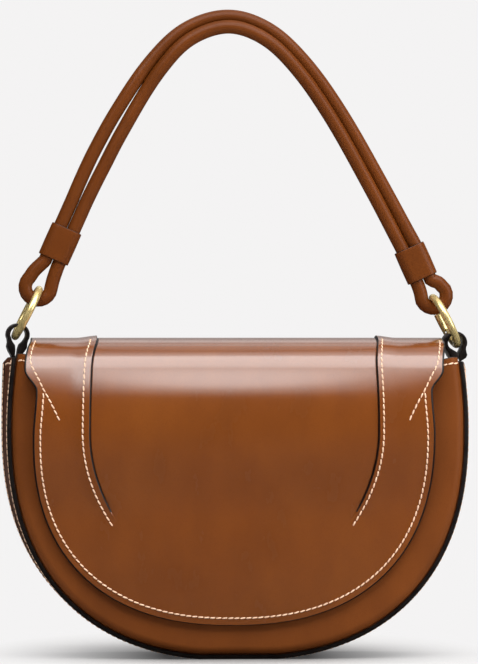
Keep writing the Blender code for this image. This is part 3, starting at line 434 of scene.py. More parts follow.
def make_leather(name, light, base, dark, shine=0.3, grain=1.0, wax=1.0):
    """Waxed calf: faint clouds and streaks of three browns, fine pores, and a layer of wax on top."""
    made, tree, shader, spot = new_material(name)
    clouds = noise(tree, spot, 14.0, 3.0, 0.5)
    streaks = noise(tree, spot, 60.0, 4.0, 0.55, stretch=(1.0, 1.0, 0.5))
    pores = noise(tree, spot, 1700.0, 2.0, 0.5)
    cells = node(tree, "ShaderNodeTexVoronoi", {"Scale": 1100.0, "Vector": spot}, feature="DISTANCE_TO_EDGE")
    tone = mix_colours(tree, ramp(tree, clouds, 0.3, 0.7, 0.0, 0.6), colour(base), colour(light))
    tone = mix_colours(tree, ramp(tree, streaks, 0.35, 0.75, 0.0, 0.4), tone, colour(dark))
    tone = mix_colours(tree, ramp(tree, pores, 0.5, 0.75, 0.0, 0.35), tone, colour(dark))
    fine = bump(tree, ramp(tree, cells.outputs["Distance"], 0.0, 0.2), 0.00001, 0.12 * grain)
    soft = bump(tree, clouds, 0.0004, 0.1 * grain, Normal=fine)
    sockets = {
        "Base Color": tone,
        "Roughness": ramp(tree, streaks, 0.3, 0.7, shine - 0.03, shine + 0.05),
        "Specular IOR Level": 0.1,
        "Coat Weight": wax,
        "Coat Roughness": 0.2,
        "Coat IOR": 1.75,
        "Normal": bump(tree, pores, 0.00001, 0.12 * grain, Normal=soft),
    }
    feed(tree, shader, sockets)
    return made


def make_suede(name, light, dark):
    """A brushed split: short fibres as fine noise, with a little sheen."""
    made, tree, shader, spot = new_material(name)
    nap = noise(tree, spot, 700.0, 5.0, 0.7)
    strokes = noise(tree, spot, 60.0, 3.0, 0.6, stretch=(1.0, 1.0, 0.3))
    tone = mix_colours(tree, ramp(tree, nap, 0.3, 0.7), colour(dark), colour(light))
    tone = mix_colours(tree, ramp(tree, strokes, 0.4, 0.7, 0.0, 0.4), tone, colour(dark))
    sockets = {"Base Color": tone, "Roughness": 0.92, "Sheen Weight": 0.25, "Sheen Roughness": 0.5}
    feed(tree, shader, sockets | {"Normal": bump(tree, nap, 0.0002, 0.5)})
    return made


def make_plain(name, light, dark, grain, relief, rough, stretch=(1.0, 1.0, 1.0), **others):
    """Two tones mixed by one noise: grain is its scale, detail and roughness, relief its depth and strength,
    and rough the surface's roughness at both of its ends."""
    made, tree, shader, spot = new_material(name)
    fibre = noise(tree, spot, *grain, stretch=stretch)
    tone = mix_colours(tree, ramp(tree, fibre, 0.3, 0.7), colour(dark), colour(light))
    sockets = {"Base Color": tone, "Roughness": ramp(tree, fibre, 0.3, 0.7, *rough)}
    feed(tree, shader, sockets | {"Normal": bump(tree, fibre, *relief)} | others)
    return made


faint = {"Specular IOR Level": 0.3}
coats = ((260.0, 3.0, 0.5), (0.0001, 0.15), (0.34, 0.46))
edge_paint = make_plain("edge_paint", "19110e", "0c0706", *coats, **faint)
flap_leather = make_leather("flap_calf", "7d4415", "71390e", "5b2b07", 0.24)
panel_leather = make_leather("panel_calf", "774018", "6a3713", "54290b", 0.46, 1.0, 0.0)
gusset_leather = make_leather("gusset_calf", "6c3a1a", "5e3016", "48230c", 0.5, 1.0, 0.05)
cord_leather = make_leather("cord_calf", "6b3711", "5e2e0c", "482206", 0.42, 0.0, 0.04)
# The tab's leather is a much darker brown than the bag's. This is partly its own colour and partly painted
# shade for the narrow folded loop, whose sides and inside lie in shade.
tab_leather_with_shade = make_leather("tab_calf", "2e1b12", "21130d", "150b08", 0.34, 0.5, 0.3)
lining_suede = make_suede("lining_suede", "b98f68", "93694a")
print("leathers:", flap_leather.name, panel_leather.name, gusset_leather.name, cord_leather.name)

# %% [markdown]
# ## Thread, brass, steel and board
# The thread is a waxed, two-ply linen, pale with darker fibres. The brass is cast and
# polished, with faint hairlines and a little darkening. Boards are grey-brown card that nobody sees.

# %% Thread, metals and board


def make_metal(name, light, dark, polish=0.2, hairlines=0.08, purity=1.0):
    """Metal with fine scratches in its roughness, and a faint darker film in patches.

    Purity under 1 keeps some of the colour when nothing bright is mirrored, as a waxed brass does."""
    made, tree, shader, spot = new_material(name)
    film = noise(tree, spot, 160.0, 3.0, 0.6)
    lines = noise(tree, spot, 900.0, 2.0, 0.5, stretch=(0.15, 1.0, 1.0))
    tone = mix_colours(tree, ramp(tree, film, 0.4, 0.75, 0.0, 0.6), colour(light), colour(dark))
    gloss = ramp(tree, lines, 0.3, 0.7, polish, polish + hairlines)
    feed(tree, shader, {"Base Color": tone, "Metallic": purity, "Roughness": gloss})
    return made


thread = make_plain("linen_thread", "f4d6ba", "dcae88", (1800.0, 2.0, 0.6), (0.0001, 0.5), (0.55, 0.55))
brass = make_metal("polished_brass", "f0d998", "d3b46c", 0.22, 0.03, 0.65)
steel = make_metal("bright_steel", "c9c8c4", "96948e", 0.28)
magnet_grey = make_metal("magnet_ferrite", "5a5a5e", "3a3a3d", 0.5)
board_card = make_plain(
    "board_card", "b3a186", "8f7d63", (420.0, 5.0, 0.7), (0.0002, 0.4), (0.9, 0.9), (1.0, 1.0, 0.25)
)

KEPT = (
    (board_card, ("front_stiffener", "back_stiffener", "gusset_stiffener", "flap_stiffener")),
    (brass, ("snap_female", "snap_male")),
    (magnet_grey, ("snap_magnet",)),
    (steel, ("snap_female_washer", "snap_male_washer", "left_gate_pin", "right_gate_pin")),
    (steel, ("left_gate_spring", "right_gate_spring")),
)
for look, names in KEPT:
    for name in names:
        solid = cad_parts[name]
        solid.data.materials.clear()
        solid.data.materials.append(look)
print("carried over from the frame:", sum(len(names) for _, names in KEPT))

# %% [markdown]
# ## Front panel, gusset and back panel
# The front is a pillow: a flat face whose rim is rolled back and glued inside the gusset, so the gusset's
# cut edge shows as a black line round it. Behind, the back panel does the opposite: its rim is turned
# forward over the gusset. All three are lofts between outlines, one outline per depth.

# %% Front panel
GUSSET_T = 2.6 * MM
PANEL_T = 1.5 * MM
GAP = 0.3 * MM
FRONT_ROLL = 4.5 * MM
BACK_ROLL = 4.0 * MM
FRONT_IN = GUSSET_T + GAP
FACE_SHARES = np.linspace(0.0, 1.0, 40)[:-1]
FLANGE = (2.0 * MM, 4.5 * MM, 9.0 * MM)
RAISE_Z = 146.0 * MM
RAISE_FROM = 90.0 * MM
RAISE_LEFT = 3.0 * MM
RAISE_RIGHT = 0.6 * MM
ROUND_DOWN = 4.0 * MM
SNAP_Z = 75.0 * MM
SNAP_CLEAR = 12.0 * MM
SNAP_FADE = 20.0 * MM
FRONT_RIPPLE = 0.22 * MM
CORNER_Z = 140.0 * MM
CORNER_X = 111.0 * MM
CORNER_FADE = 8.0 * MM
CORNER_LEFT = 2.8 * MM
CORNER_RIGHT = 0.9 * MM
MIDDLE_DROP = 0.6 * MM


def share_of(depth):
    return depth / BASE_DEPTH


WAVES = np.array([31.0, 23.0, 17.0, 43.0]) * MM


def ripple(points, size, seed):
    """A slow, small unevenness: three sine waves of different length and direction, added up."""
    x, z = points[..., 0], points[..., 2]
    a = np.sin(x / WAVES[0] + 1.3 * seed) * np.cos(z / WAVES[1] + 0.7 * seed)
    b = np.sin((x + z) / WAVES[2] + 2.1 * seed) * 0.5
    c = np.cos((x - 1.7 * z) / WAVES[3] + 0.4 * seed)
    return size * (a + b + c) / 2.5


def shaped_top(grid, depth):
    """The grid with its open top raised on the left, and rounded down towards the back on both sides."""
    height, across = grid[..., 2], grid[..., 0]
    near_top = onset(height, RAISE_Z, GUSSET_TOP - RAISE_Z) * (np.abs(across) > RAISE_FROM)
    rise = np.where(across < 0.0, RAISE_LEFT, RAISE_RIGHT) - ROUND_DOWN * onset(depth, 0.45, 0.6) ** 1.5
    grid[..., 2] += near_top * rise
    return grid


def faded_rim(grid):
    """1 in a face's middle and 0 on its rim, one number a row."""
    return np.clip(1.0 - np.arange(len(grid)) / len(FACE_SHARES), 0.0, 1.0)[:, None]


angles = np.linspace(0.0, math.pi / 2.0, 9)
front_rows = fan(-share_of(FRONT_ROLL), FRONT_IN + FRONT_ROLL, FRONT_TOP, FACE_SHARES)
roll = [(-share_of(FRONT_ROLL * math.cos(a)), FRONT_IN + FRONT_ROLL * (1.0 - math.sin(a))) for a in angles]
roll += [(share_of(d), FRONT_IN) for d in FLANGE]
front_grid = np.concatenate([front_rows, loft(roll, FRONT_TOP)])
from_snap = np.hypot(front_grid[..., 0], front_grid[..., 2] - SNAP_Z)
swell = ripple(front_grid, FRONT_RIPPLE, 2.0) * smooth(faded_rim(front_grid) * 6.0)
front_grid[..., 1] += swell * onset(from_snap, SNAP_CLEAR, SNAP_FADE)
near_top = onset(front_grid[..., 2], CORNER_Z, FRONT_TOP - CORNER_Z)
corner = onset(np.abs(front_grid[..., 0]), CORNER_X, CORNER_FADE)
corner_rise = np.where(front_grid[..., 0] < 0.0, CORNER_LEFT, CORNER_RIGHT)
front_grid[..., 2] += near_top**3 * (corner * corner_rise - (1.0 - corner) * MIDDLE_DROP)
front_panel = leather_sheet("front_panel_calf", front_grid, PANEL_T, panel_leather, "panel_leather")
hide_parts("front_panel")
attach(front_panel, "body")
print("front panel points:", front_grid.shape)

# %% Back panel
BACK_FLANGE = (3.0 * MM, 5.5 * MM, 8.0 * MM)
BACK_PILLOW = 1.6 * MM
BACK_RIPPLE = 0.4 * MM
BELOW_ROOT_Z = 95.0 * MM
BELOW_ROOT_FADE = 38.0 * MM
back_rows = fan(1.0, BACK_ROLL, BACK_TOP, FACE_SHARES)
roll = [(1.0 - share_of(BACK_ROLL * (1.0 - math.cos(a))), BACK_ROLL * (1.0 - math.sin(a))) for a in angles]
roll += [(1.0 - share_of(BACK_ROLL + d), 0.0) for d in BACK_FLANGE]
FLANGE_V = roll[-1][0]
back_grid = np.concatenate([back_rows, loft(roll, BACK_TOP)])
below_root = 1.0 - onset(back_grid[..., 2], BELOW_ROOT_Z, BELOW_ROOT_FADE)
pillow = (BACK_PILLOW + ripple(back_grid, BACK_RIPPLE, 4.0)) * smooth(faded_rim(back_grid) * 2.2)
back_grid[..., 1] += pillow * below_root
back_depth = np.array([1.0] * len(FACE_SHARES) + [v for v, _ in roll])[:, None]
back_grid = shaped_top(back_grid, back_depth)
back_panel = leather_sheet("back_panel_calf", back_grid, PANEL_T, panel_leather, "panel_leather")
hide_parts("back_panel")
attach(back_panel, "body")
print("back panel points:", back_grid.shape)

# %% [markdown]
# The gusset is one long strip, and some 45 mm of its width is seen. It sinks a little between its
# two seams near the open top, where nothing stiffens it, and dips under the back panel's turned rim.

# %% Gusset
LAP = PANEL_T + GAP
GUSSET_BULGE = 0.35 * MM
LAP_START = FLANGE_V - share_of(4.0 * MM)
LAP_END = FLANGE_V - share_of(0.6 * MM)
GUSSET_END = 1.0 - share_of(3.4 * MM)


def under_flange(v):
    """How far the gusset dips at depth share v, to pass under the back panel's turned rim."""
    return LAP * float(onset(v, LAP_START, LAP_END - LAP_START))


under_lap = np.linspace(LAP_START, LAP_END, 6)[1:]
stations = np.concatenate([np.linspace(0.0, LAP_START, 16), under_lap, [GUSSET_END]])
gusset_grid = shaped_top(loft([(v, under_flange(v)) for v in stations], GUSSET_TOP), stations[:, None])
gusset = leather_sheet("gusset_calf", gusset_grid, GUSSET_T, gusset_leather, "gusset_leather", GUSSET_BULGE)
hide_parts("gusset")
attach(gusset, "body")
print("gusset points:", gusset_grid.shape)

# %% [markdown]
# Inside, suede covers the boards. Three pieces of it follow the same outlines a little further in.

# %% Body linings
BOARD_T = 1.0 * MM
LINING_T = 0.9 * MM
LINING_BULGE = 0.2 * MM
LINED_TOP = GUSSET_TOP - 1.0 * MM
lining_from = PANEL_T + GAP + BOARD_T + GAP
front_lining_v = -share_of(FRONT_ROLL - lining_from)
shares = np.linspace(0.0, 1.0, 24)
back_in = LAP + GUSSET_T + 2.0 * GAP
back_lining_v = 1.0 - share_of(lining_from)
steps_to = 1.0 - share_of(lining_from + LINING_T + GAP)
steps = np.linspace(front_lining_v + share_of(LINING_T + GAP), steps_to, 14)
LINING_GRIDS = {
    "front_lining": fan(front_lining_v, FRONT_IN + PANEL_T + 3.0 * GAP, LINED_TOP, shares),
    "back_lining": fan(back_lining_v, back_in, LINED_TOP, shares),
    "gusset_lining": loft([(v, back_in) for v in steps], LINED_TOP),
}
linings = {}
for solid, grid in LINING_GRIDS.items():
    linings[solid] = leather_sheet(
        f"{solid}_suede", grid, LINING_T, lining_suede, "lining", LINING_BULGE, edge_painted=False
    )
for solid, piece in linings.items():
    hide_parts(solid)
    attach(piece, "body")
print("linings:", sorted(linings))

# %% [markdown]
# ## The flap
# The flap is the face of the bag. It is cut as three pieces: the two side pieces lap over the middle one
# along the darts, with their painted edges facing inwards. Its outline is a superellipse below, a slight
# neck, and two ears at the shoulder. It is made as rows from the top of the arch down to the lowest point.
# Rows are used, and not one flat shape that is bent later, because then a column of points can follow
# each dart and carry its small step.

# %% Flap outline, darts and surface
FLAP_T = 1.6 * MM
FLAP_HALF = 110.2 * MM
FLAP_MID_Z = 122.0 * MM
FLAP_BOTTOM = 19.2 * MM
FLAP_ROUNDNESS = 2.35
NECK_HALF = 108.6 * MM
NECK_Z = 148.0 * MM
EAR_HALF = 115.0 * MM
EAR_Z = 159.5 * MM
FRONT_HINGE_Z = 160.5 * MM
BACK_HINGE_Z = 157.0 * MM
CROWN_Z = 177.0 * MM
CROWN_HALF = 114.2 * MM
CROWN_BACK_HALF = 107.0 * MM
EDGE_STAND = 3.6 * MM
TOP_STAND = 6.2 * MM
STAND_FADE = 45.0 * MM
DART_RISE = 1.3 * MM
DART_LOW_Z = 76.5 * MM
DART_BEND_Z = 125.0 * MM
DART_X = 79.4 * MM
DART_TURN = 14.8 * MM
DART_LEAN = 1.8 * MM
DART_FADE = 12.0 * MM
HANG_LOW = -3.3 * MM
HANG_HINGE = -2.5 * MM
HANG_FADE = 26.0 * MM
PILLOW = 5.0 * MM
SHOULDER_SWELL = 6.0 * MM
MIDDLE_SWELL = 1.5 * MM
MIDDLE_FADE = 18.0 * MM
SHOULDER_LOW = 80.0 * MM
SHOULDER_LONG = 62.0 * MM
SHOULDER_BEND = 85.0 * MM


def flap_half(z):
    """Half-width of the flap at height z."""
    low = np.clip((FLAP_MID_Z - z) / (FLAP_MID_Z - FLAP_BOTTOM), 0.0, 1.0)
    neck = lerp(FLAP_HALF, NECK_HALF, onset(z, FLAP_MID_Z, NECK_Z - FLAP_MID_Z))
    ears = neck + (EAR_HALF - NECK_HALF) * onset(z, NECK_Z, EAR_Z - NECK_Z)
    return np.where(z < FLAP_MID_Z, FLAP_HALF * (1.0 - low**FLAP_ROUNDNESS) ** (1.0 / FLAP_ROUNDNESS), ears)


def dart_x(z):
    """The dart's distance from the middle: upright above, curving inwards to its foot."""
    fall = np.maximum(0.0, (DART_BEND_Z - z) / (DART_BEND_Z - DART_LOW_Z))
    rise = np.maximum(0.0, (z - DART_BEND_Z) / (CROWN_Z - DART_BEND_Z))
    return DART_X - DART_TURN * fall**2 - DART_LEAN * rise**2


def hang(h):
    """How far the flap is pulled to the left: nothing on top of its arch, most at its lowest point."""
    below = lerp(HANG_LOW, HANG_HINGE, h / FRONT_HINGE_Z)
    return below * (1.0 - onset(h, FRONT_HINGE_Z, HANG_FADE))


def fullness(x, z):
    """1 in the flap's middle and 0 on its lower edge and at the hinge."""
    n = FLAP_ROUNDNESS
    low = np.maximum(0.0, (FLAP_MID_Z - z) / (FLAP_MID_Z - FLAP_BOTTOM))
    reach = ((np.abs(x) / FLAP_HALF) ** n + low**n) ** (1.0 / n)
    return (1.0 - np.minimum(1.0, reach) ** 3) * (1.0 - onset(z, SHOULDER_LOW, SHOULDER_LONG))


def flap_y(x, z):
    """The flap's outer face: the front panel's face, a stand-off, and a swell over the snap."""
    top = (TOP_STAND - EDGE_STAND) * onset(z, SNAP_Z, STAND_FADE)
    share = np.clip((z - SHOULDER_BEND) / (FRONT_HINGE_Z - SHOULDER_BEND), 0.0, 1.0)
    shoulder = onset(z, SHOULDER_LOW, SHOULDER_LONG)
    bend = SHOULDER_SWELL * (1.0 - share**4) * shoulder
    middle = MIDDLE_SWELL * smooth((FRONT_HINGE_Z - z) / MIDDLE_FADE) * shoulder
    bend = bend + middle * np.maximum(0.0, 1.0 - (x / FLAP_HALF) ** 2)
    return y_at(0.0, z) - FRONT_ROLL - EDGE_STAND - top - bend - PILLOW * fullness(x, z) + SHIFT


low_node, high_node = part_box("flap_panel")
print("flap solid mm:", [round(c / MM, 1) for c in (*low_node, *high_node)])
print("flap face at the snap mm:", round(float(flap_y(0.0, SNAP_Z)) / MM, 2))

# %% [markdown]
# Each row gets the same columns: the middle piece, a narrow step at the dart, and the side piece. The
# step rises sharply on the side that faces the middle and dies away over 12 mm, where the lap ends.

# %% Rows, columns and the dart's step
STEP_AT = np.array([-0.85, -0.5, -0.1, 0.12, 0.4, 0.75, 1.15]) * MM
STEP_HIGH = np.array([0.0, -0.25, 0.0, 0.84, 1.04, 1.06, 0.99])
# The edge paint covers the step's wall and its rounded top, and also the shallow groove beside the wall,
# where the black paints the shade in that gap.
STEP_PAINT_AND_GAP_SHADE = np.array([0.0, 1.0, 1.0, 1.0, 1.0, 0.1, 0.0])
INNER = np.linspace(0.0, 1.0, 27)[:-1]
OUTER = np.linspace(0.0, 1.0, 19)[1:]
EDGE_SEEN = 0.55 * MM
STEP_BEFORE = 0.95 * MM
DART_ENTRY = 14.0 * MM
BELOW_DART = 24.0 * MM
DART_ROOM = 4.0 * MM
COLUMN_SHARE = 0.58
DART_TRAVEL = (0.3, 0.2)
EAR_TRAVEL = (0.64, 0.2)


def half_row(half, dart):
    """Columns of half a row, their step heights and their paint."""
    inner = INNER * (dart - STEP_BEFORE)
    room = half - dart - STEP_AT[-1] - EDGE_SEEN
    outer = np.append(dart + STEP_AT[-1] + OUTER * room, half)
    fade = 1.0 - smooth((outer - dart) / DART_FADE)
    x = np.concatenate([inner, dart + STEP_AT, outer])
    rise = np.concatenate([0.0 * inner, STEP_HIGH, fade])
    mark = np.concatenate([0.0 * inner, STEP_PAINT_AND_GAP_SHADE, 0.0 * outer])
    mark[-2:] = 1.0
    return x, rise, mark


def full_row(half, dart, lift):
    """The mirrored row: x, the step's height above the middle piece, and paint."""
    x, rise, mark = half_row(half, dart)
    both = np.concatenate([-x[:0:-1], x])
    high = np.concatenate([rise[:0:-1], rise]) * lift
    seen = (lift > 0.12 * DART_RISE) | (np.abs(both) > half - 1.01 * EDGE_SEEN)
    return both, high, np.concatenate([mark[:0:-1], mark]) * seen


def low_edge(count):
    """Angles over a quarter of the flap's lower edge, and that edge's heights."""
    turn = np.linspace(0.0, math.pi / 2.0, count)
    return turn, FLAP_MID_Z - (FLAP_MID_Z - FLAP_BOTTOM) * np.sin(turn) ** (2.0 / FLAP_ROUNDNESS)


def front_row(z, edge_in=0.0):
    """Points of the flap's front at height z."""
    half = max(0.0, float(flap_half(z)) - edge_in)
    below = smooth((DART_LOW_Z - z) / BELOW_DART)
    dart = lerp(float(dart_x(max(z, DART_LOW_Z - DART_ROOM))), COLUMN_SHARE * half, float(below))
    dart = max(min(dart, half - DART_ROOM), 1.0 * MM)
    x, high, mark = full_row(half, dart, DART_RISE * float(onset(z, DART_LOW_Z, DART_ENTRY)))
    x = np.clip(x, -half, half)
    return np.stack([x + hang(z), flap_y(x, np.full(len(x), z)), np.full(len(x), z)], axis=1), high, mark


def bezier(a, b, c, d, shares):
    """a (1-t)^3 + 3 b t (1-t)^2 + 3 c t^2 (1-t) + d t^3."""
    t = np.asarray(shares, dtype=float)[:, None]
    a, b, c, d = (np.array(p) for p in (a, b, c, d))
    return a * (1.0 - t) ** 3 + 3.0 * b * t * (1.0 - t) ** 2 + 3.0 * c * t**2 * (1.0 - t) + d * t**3


HINGE_BACK_Y = float(y_at(1.0, BACK_HINGE_Z)) + GAP + FLAP_T
HINGE_FRONT_Y = float(flap_y(0.0, FRONT_HINGE_Z)) - SHIFT
HINGE_TILT = math.atan2(float(flap_y(0.0, FRONT_HINGE_Z) - flap_y(0.0, FRONT_HINGE_Z - 0.5 * MM)), 0.5 * MM)
APEX = (3.0 * MM, CROWN_Z)
BACK_UPRIGHT = (HINGE_BACK_Y, 170.5 * MM)
BACK_LEVEL = (20.0 * MM, CROWN_Z)
FRONT_LEVEL = (-23.5 * MM, CROWN_Z)
FRONT_REACH = 12.5 * MM
shares = np.linspace(0.0, 1.0, 160)
back_end = (HINGE_BACK_Y, BACK_HINGE_Z + GAP)
back_arch = bezier(back_end, BACK_UPRIGHT, BACK_LEVEL, APEX, shares)
front_end = np.array([HINGE_FRONT_Y, FRONT_HINGE_Z])
front_handle = front_end + FRONT_REACH * np.array([math.sin(HINGE_TILT), math.cos(HINGE_TILT)])
front_arch = bezier(APEX, FRONT_LEVEL, front_handle, front_end, shares)
ARCH = np.concatenate([back_arch, front_arch[1:]])
ARCH_LENGTH = float(along(ARCH)[-1])


def on_arch(travel):
    """(y, z) of the flap's arch at a share of its length, from the back hinge to the front hinge."""
    return resample(ARCH, np.asarray(travel, dtype=float) * ARCH_LENGTH)


print("arch length mm:", round(ARCH_LENGTH / MM, 1), "tilt at the hinge:", round(math.degrees(HINGE_TILT), 1))


def crown_row(travel, edge_in=0.0):
    """Points of the flap's arch, at a share of the way from the back hinge to the front hinge."""
    y, z = on_arch([travel])[0]
    half = lerp(CROWN_BACK_HALF, CROWN_HALF, float(smooth(travel * 2.4)))
    half = lerp(half, EAR_HALF, float(onset(travel, *EAR_TRAVEL))) - edge_in
    x, high, mark = full_row(half, float(dart_x(z)), DART_RISE * float(onset(travel, *DART_TRAVEL)))
    x = x + hang(FRONT_HINGE_Z + (1.0 - travel) * ARCH_LENGTH)
    return np.stack([x, np.full(len(x), y + SHIFT), np.full(len(x), z)], axis=1), high, mark


def stack_rows(made):
    """Rows of (points, height, paint) as three arrays."""
    return tuple(np.array([row[k] for row in made]) for k in range(3))


low_rows = low_edge(56)[1][1:]
front_rows_z = np.concatenate([np.linspace(FRONT_HINGE_Z - GAP, FLAP_MID_Z, 26), low_rows])
arch_front = [crown_row(t) for t in np.linspace(0.5, 1.0, 34)]
flap_points, flap_high, flap_mark = stack_rows(arch_front + [front_row(z) for z in front_rows_z])
flap_points[-1] = flap_points[-1].mean(axis=0)
flap_high[-1] = 0.0
print("flap rows and columns:", flap_points.shape[:2])

# %% [markdown]
# The flap bends in two places, at the front shoulder and where it leaves the back panel. The real leather
# does that without a seam; here it is two pieces that meet on top of the arch.

# %% Flap front, over the front shoulder
flap_outer = moved_in(flap_points, -flap_high)
FLAP_LOOK = (FLAP_T, flap_leather, "flap_leather", 0.5 * MM)
flap = leather_sheet("flap_calf", flap_outer, *FLAP_LOOK, flap_mark)
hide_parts("flap_panel", "flap_crown")
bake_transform(flap)
print("flap vertices:", len(flap.data.vertices))

# %% Flap root, over the back
ROOT_LOW = 136.0 * MM
ROOT_HALF = 100.0 * MM
root_rows = []
for z in np.linspace(ROOT_LOW, BACK_HINGE_Z, 9):
    half = lerp(ROOT_HALF, CROWN_BACK_HALF, (z - ROOT_LOW) / (BACK_HINGE_Z - ROOT_LOW))
    x, high, mark = full_row(half, float(dart_x(CROWN_Z)), 0.0)
    depth = np.full(len(x), float(y_at(1.0, z)) + GAP + FLAP_T + SHIFT)
    root_rows.append((np.stack([x, depth, np.full(len(x), z)], axis=1), high, mark))
arch_back = [crown_row(t) for t in np.linspace(0.0, 0.5, 34)]
root_points, root_high, root_mark = stack_rows(root_rows + arch_back)
root_outer = moved_in(root_points, -root_high)
root_outer[-1] = flap_outer[0]
flap_root = leather_sheet("flap_root_calf", root_outer, *FLAP_LOOK, root_mark)
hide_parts("flap_root_strip", "flap_crown")
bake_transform(flap_root)
print("flap root vertices:", len(flap_root.data.vertices))

# %% Flap lining
LINING_IN = 0.8 * MM
LINING_UP = 0.7 * MM
BOARD_TOP = 146.0 * MM
BOARD_FADE = 8.0 * MM
BOARD_ROUND_Z = 100.0 * MM
arch_rows = [crown_row(t, LINING_IN) for t in np.linspace(0.25, 1.0, 40)]
upper_z = np.linspace(FRONT_HINGE_Z - GAP, FLAP_MID_Z, 20)[1:]
lining_z = np.concatenate([upper_z, low_rows[::2] + LINING_UP])
lining_rows = arch_rows + [front_row(z, LINING_IN) for z in lining_z]
lining_points, _, _ = stack_rows(lining_rows)
lining_points[-1] = lining_points[-1].mean(axis=0)
height = lining_points[..., 2]
in_front = (np.arange(len(lining_points)) >= len(arch_rows))[:, None]
board_in = smooth(fullness(lining_points[..., 0], np.minimum(height, BOARD_ROUND_Z)) / 0.14)
board_up = 1.0 - onset(height, BOARD_TOP, BOARD_FADE)
lining_depth = FLAP_T + GAP + (BOARD_T + GAP) * board_in * board_up * in_front
lining_outer = moved_in(lining_points, lining_depth)
flap_lining = leather_sheet(
    "flap_lining_suede", lining_outer, LINING_T, lining_suede, "lining", LINING_BULGE, edge_painted=False
)
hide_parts("flap_lining", "crown_lining")
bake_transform(flap_lining)
print("flap lining vertices:", len(flap_lining.data.vertices))

# %% [markdown]
# ## Stitches
# The seams are sewn with a pale waxed thread, seven or eight stitches in 25 mm. A texture could draw them,
# but the thread stands on the leather and catches the light, so each stitch is a small swollen capsule
# whose ends dip into the holes. A row of them is worked out at once, from a path and the leather's normals.

# %% A row of stitches
PITCH = 3.3 * MM
STITCH_LONG = 3.2 * MM
STITCH_R = 0.44 * MM
STITCH_SLANT = math.radians(7.0)
STITCH_SWELL = np.array([0.0, 0.55, 0.92, 1.0, 0.92, 0.55, 0.0])
STITCH_REACH = np.array([-1.0, -0.97, -0.62, 0.0, 0.62, 0.97, 1.0])
STITCH_ROUND = 6
STITCH_FACES = quads_of(len(STITCH_REACH), STITCH_ROUND, True)
STITCH_LIFT = 0.15
STITCH_DROP = 0.9
HOLE_LONG = 1.0 * MM
HOLE_SINK = 0.88
BESIDE = 0.3 * MM
NEAR = 0.2 * MM


def stitches(path, normal, hole=False):
    """Points and faces of a row of capsules.

    Each is centre + along * (reach * length / 2) + a circle of radius * swell. A stitch is lifted by a part
    of its radius, and dropped towards its ends by radius * reach^4, where it goes into its hole. The holes
    lie between the stitches, sunk nearly to their full radius."""
    travelled = along(path)
    count = max(1, int(travelled[-1] / PITCH))
    at = (np.arange(count) + 0.5) * travelled[-1] / count
    length, height = STITCH_LONG, STITCH_R * (STITCH_LIFT - STITCH_DROP * STITCH_REACH**4)
    # With hole, the dark capsules between the stitches paint the shade inside the needle holes.
    if hole:
        count, at = count - 1, (at[1:] + at[:-1]) / 2.0
        length, height = HOLE_LONG, STITCH_R * (-HOLE_SINK + 0.0 * STITCH_REACH)
    centre, up = resample(path, at), unit(read_at(travelled, normal, at))
    ahead = resample(path, at + BESIDE) - resample(path, at - BESIDE)
    ahead = unit(ahead - up * (ahead * up).sum(axis=1, keepdims=True))
    way = ahead * math.cos(STITCH_SLANT) + np.cross(up, ahead) * math.sin(STITCH_SLANT)
    across = np.cross(up, way)
    angle = np.arange(STITCH_ROUND) * 2.0 * math.pi / STITCH_ROUND
    spine = centre[:, None] + way[:, None] * (STITCH_REACH * length / 2.0)[None, :, None]
    spine = spine + up[:, None] * height[None, :, None]
    circle = np.cos(angle)[:, None] * across[:, None] + np.sin(angle)[:, None] * up[:, None]
    points = spine[:, :, None] + circle[:, None] * (STITCH_R * STITCH_SWELL)[None, :, None, None]
    faces = STITCH_FACES[None] + (np.arange(count) * len(STITCH_REACH) * STITCH_ROUND)[:, None, None]
    return points.reshape(-1, 3), faces.reshape(-1, 4)


def make_stitches(name, rows):
    """Two pieces: the thread of several rows (path, normals), and dark marks between the stitches that paint
    the shade inside the needle holes.
    """
    made = []
    # The needle hole marks take the black edge paint: painted shade in the holes.
    for part, look in (("stitches", thread), ("needle_hole_shade", edge_paint)):
        points, faces, count = [], [], 0
        for path, normal in rows:
            row_points, row_faces = stitches(path, normal, part == "needle_hole_shade")
            points.append(row_points)
            faces.append(row_faces + count)
            count += len(row_points)
        points, faces = np.concatenate(points), np.concatenate(faces)
        made.append(make_piece(f"{name}_{part}", points, faces, look, sharp=80.0))
    return made


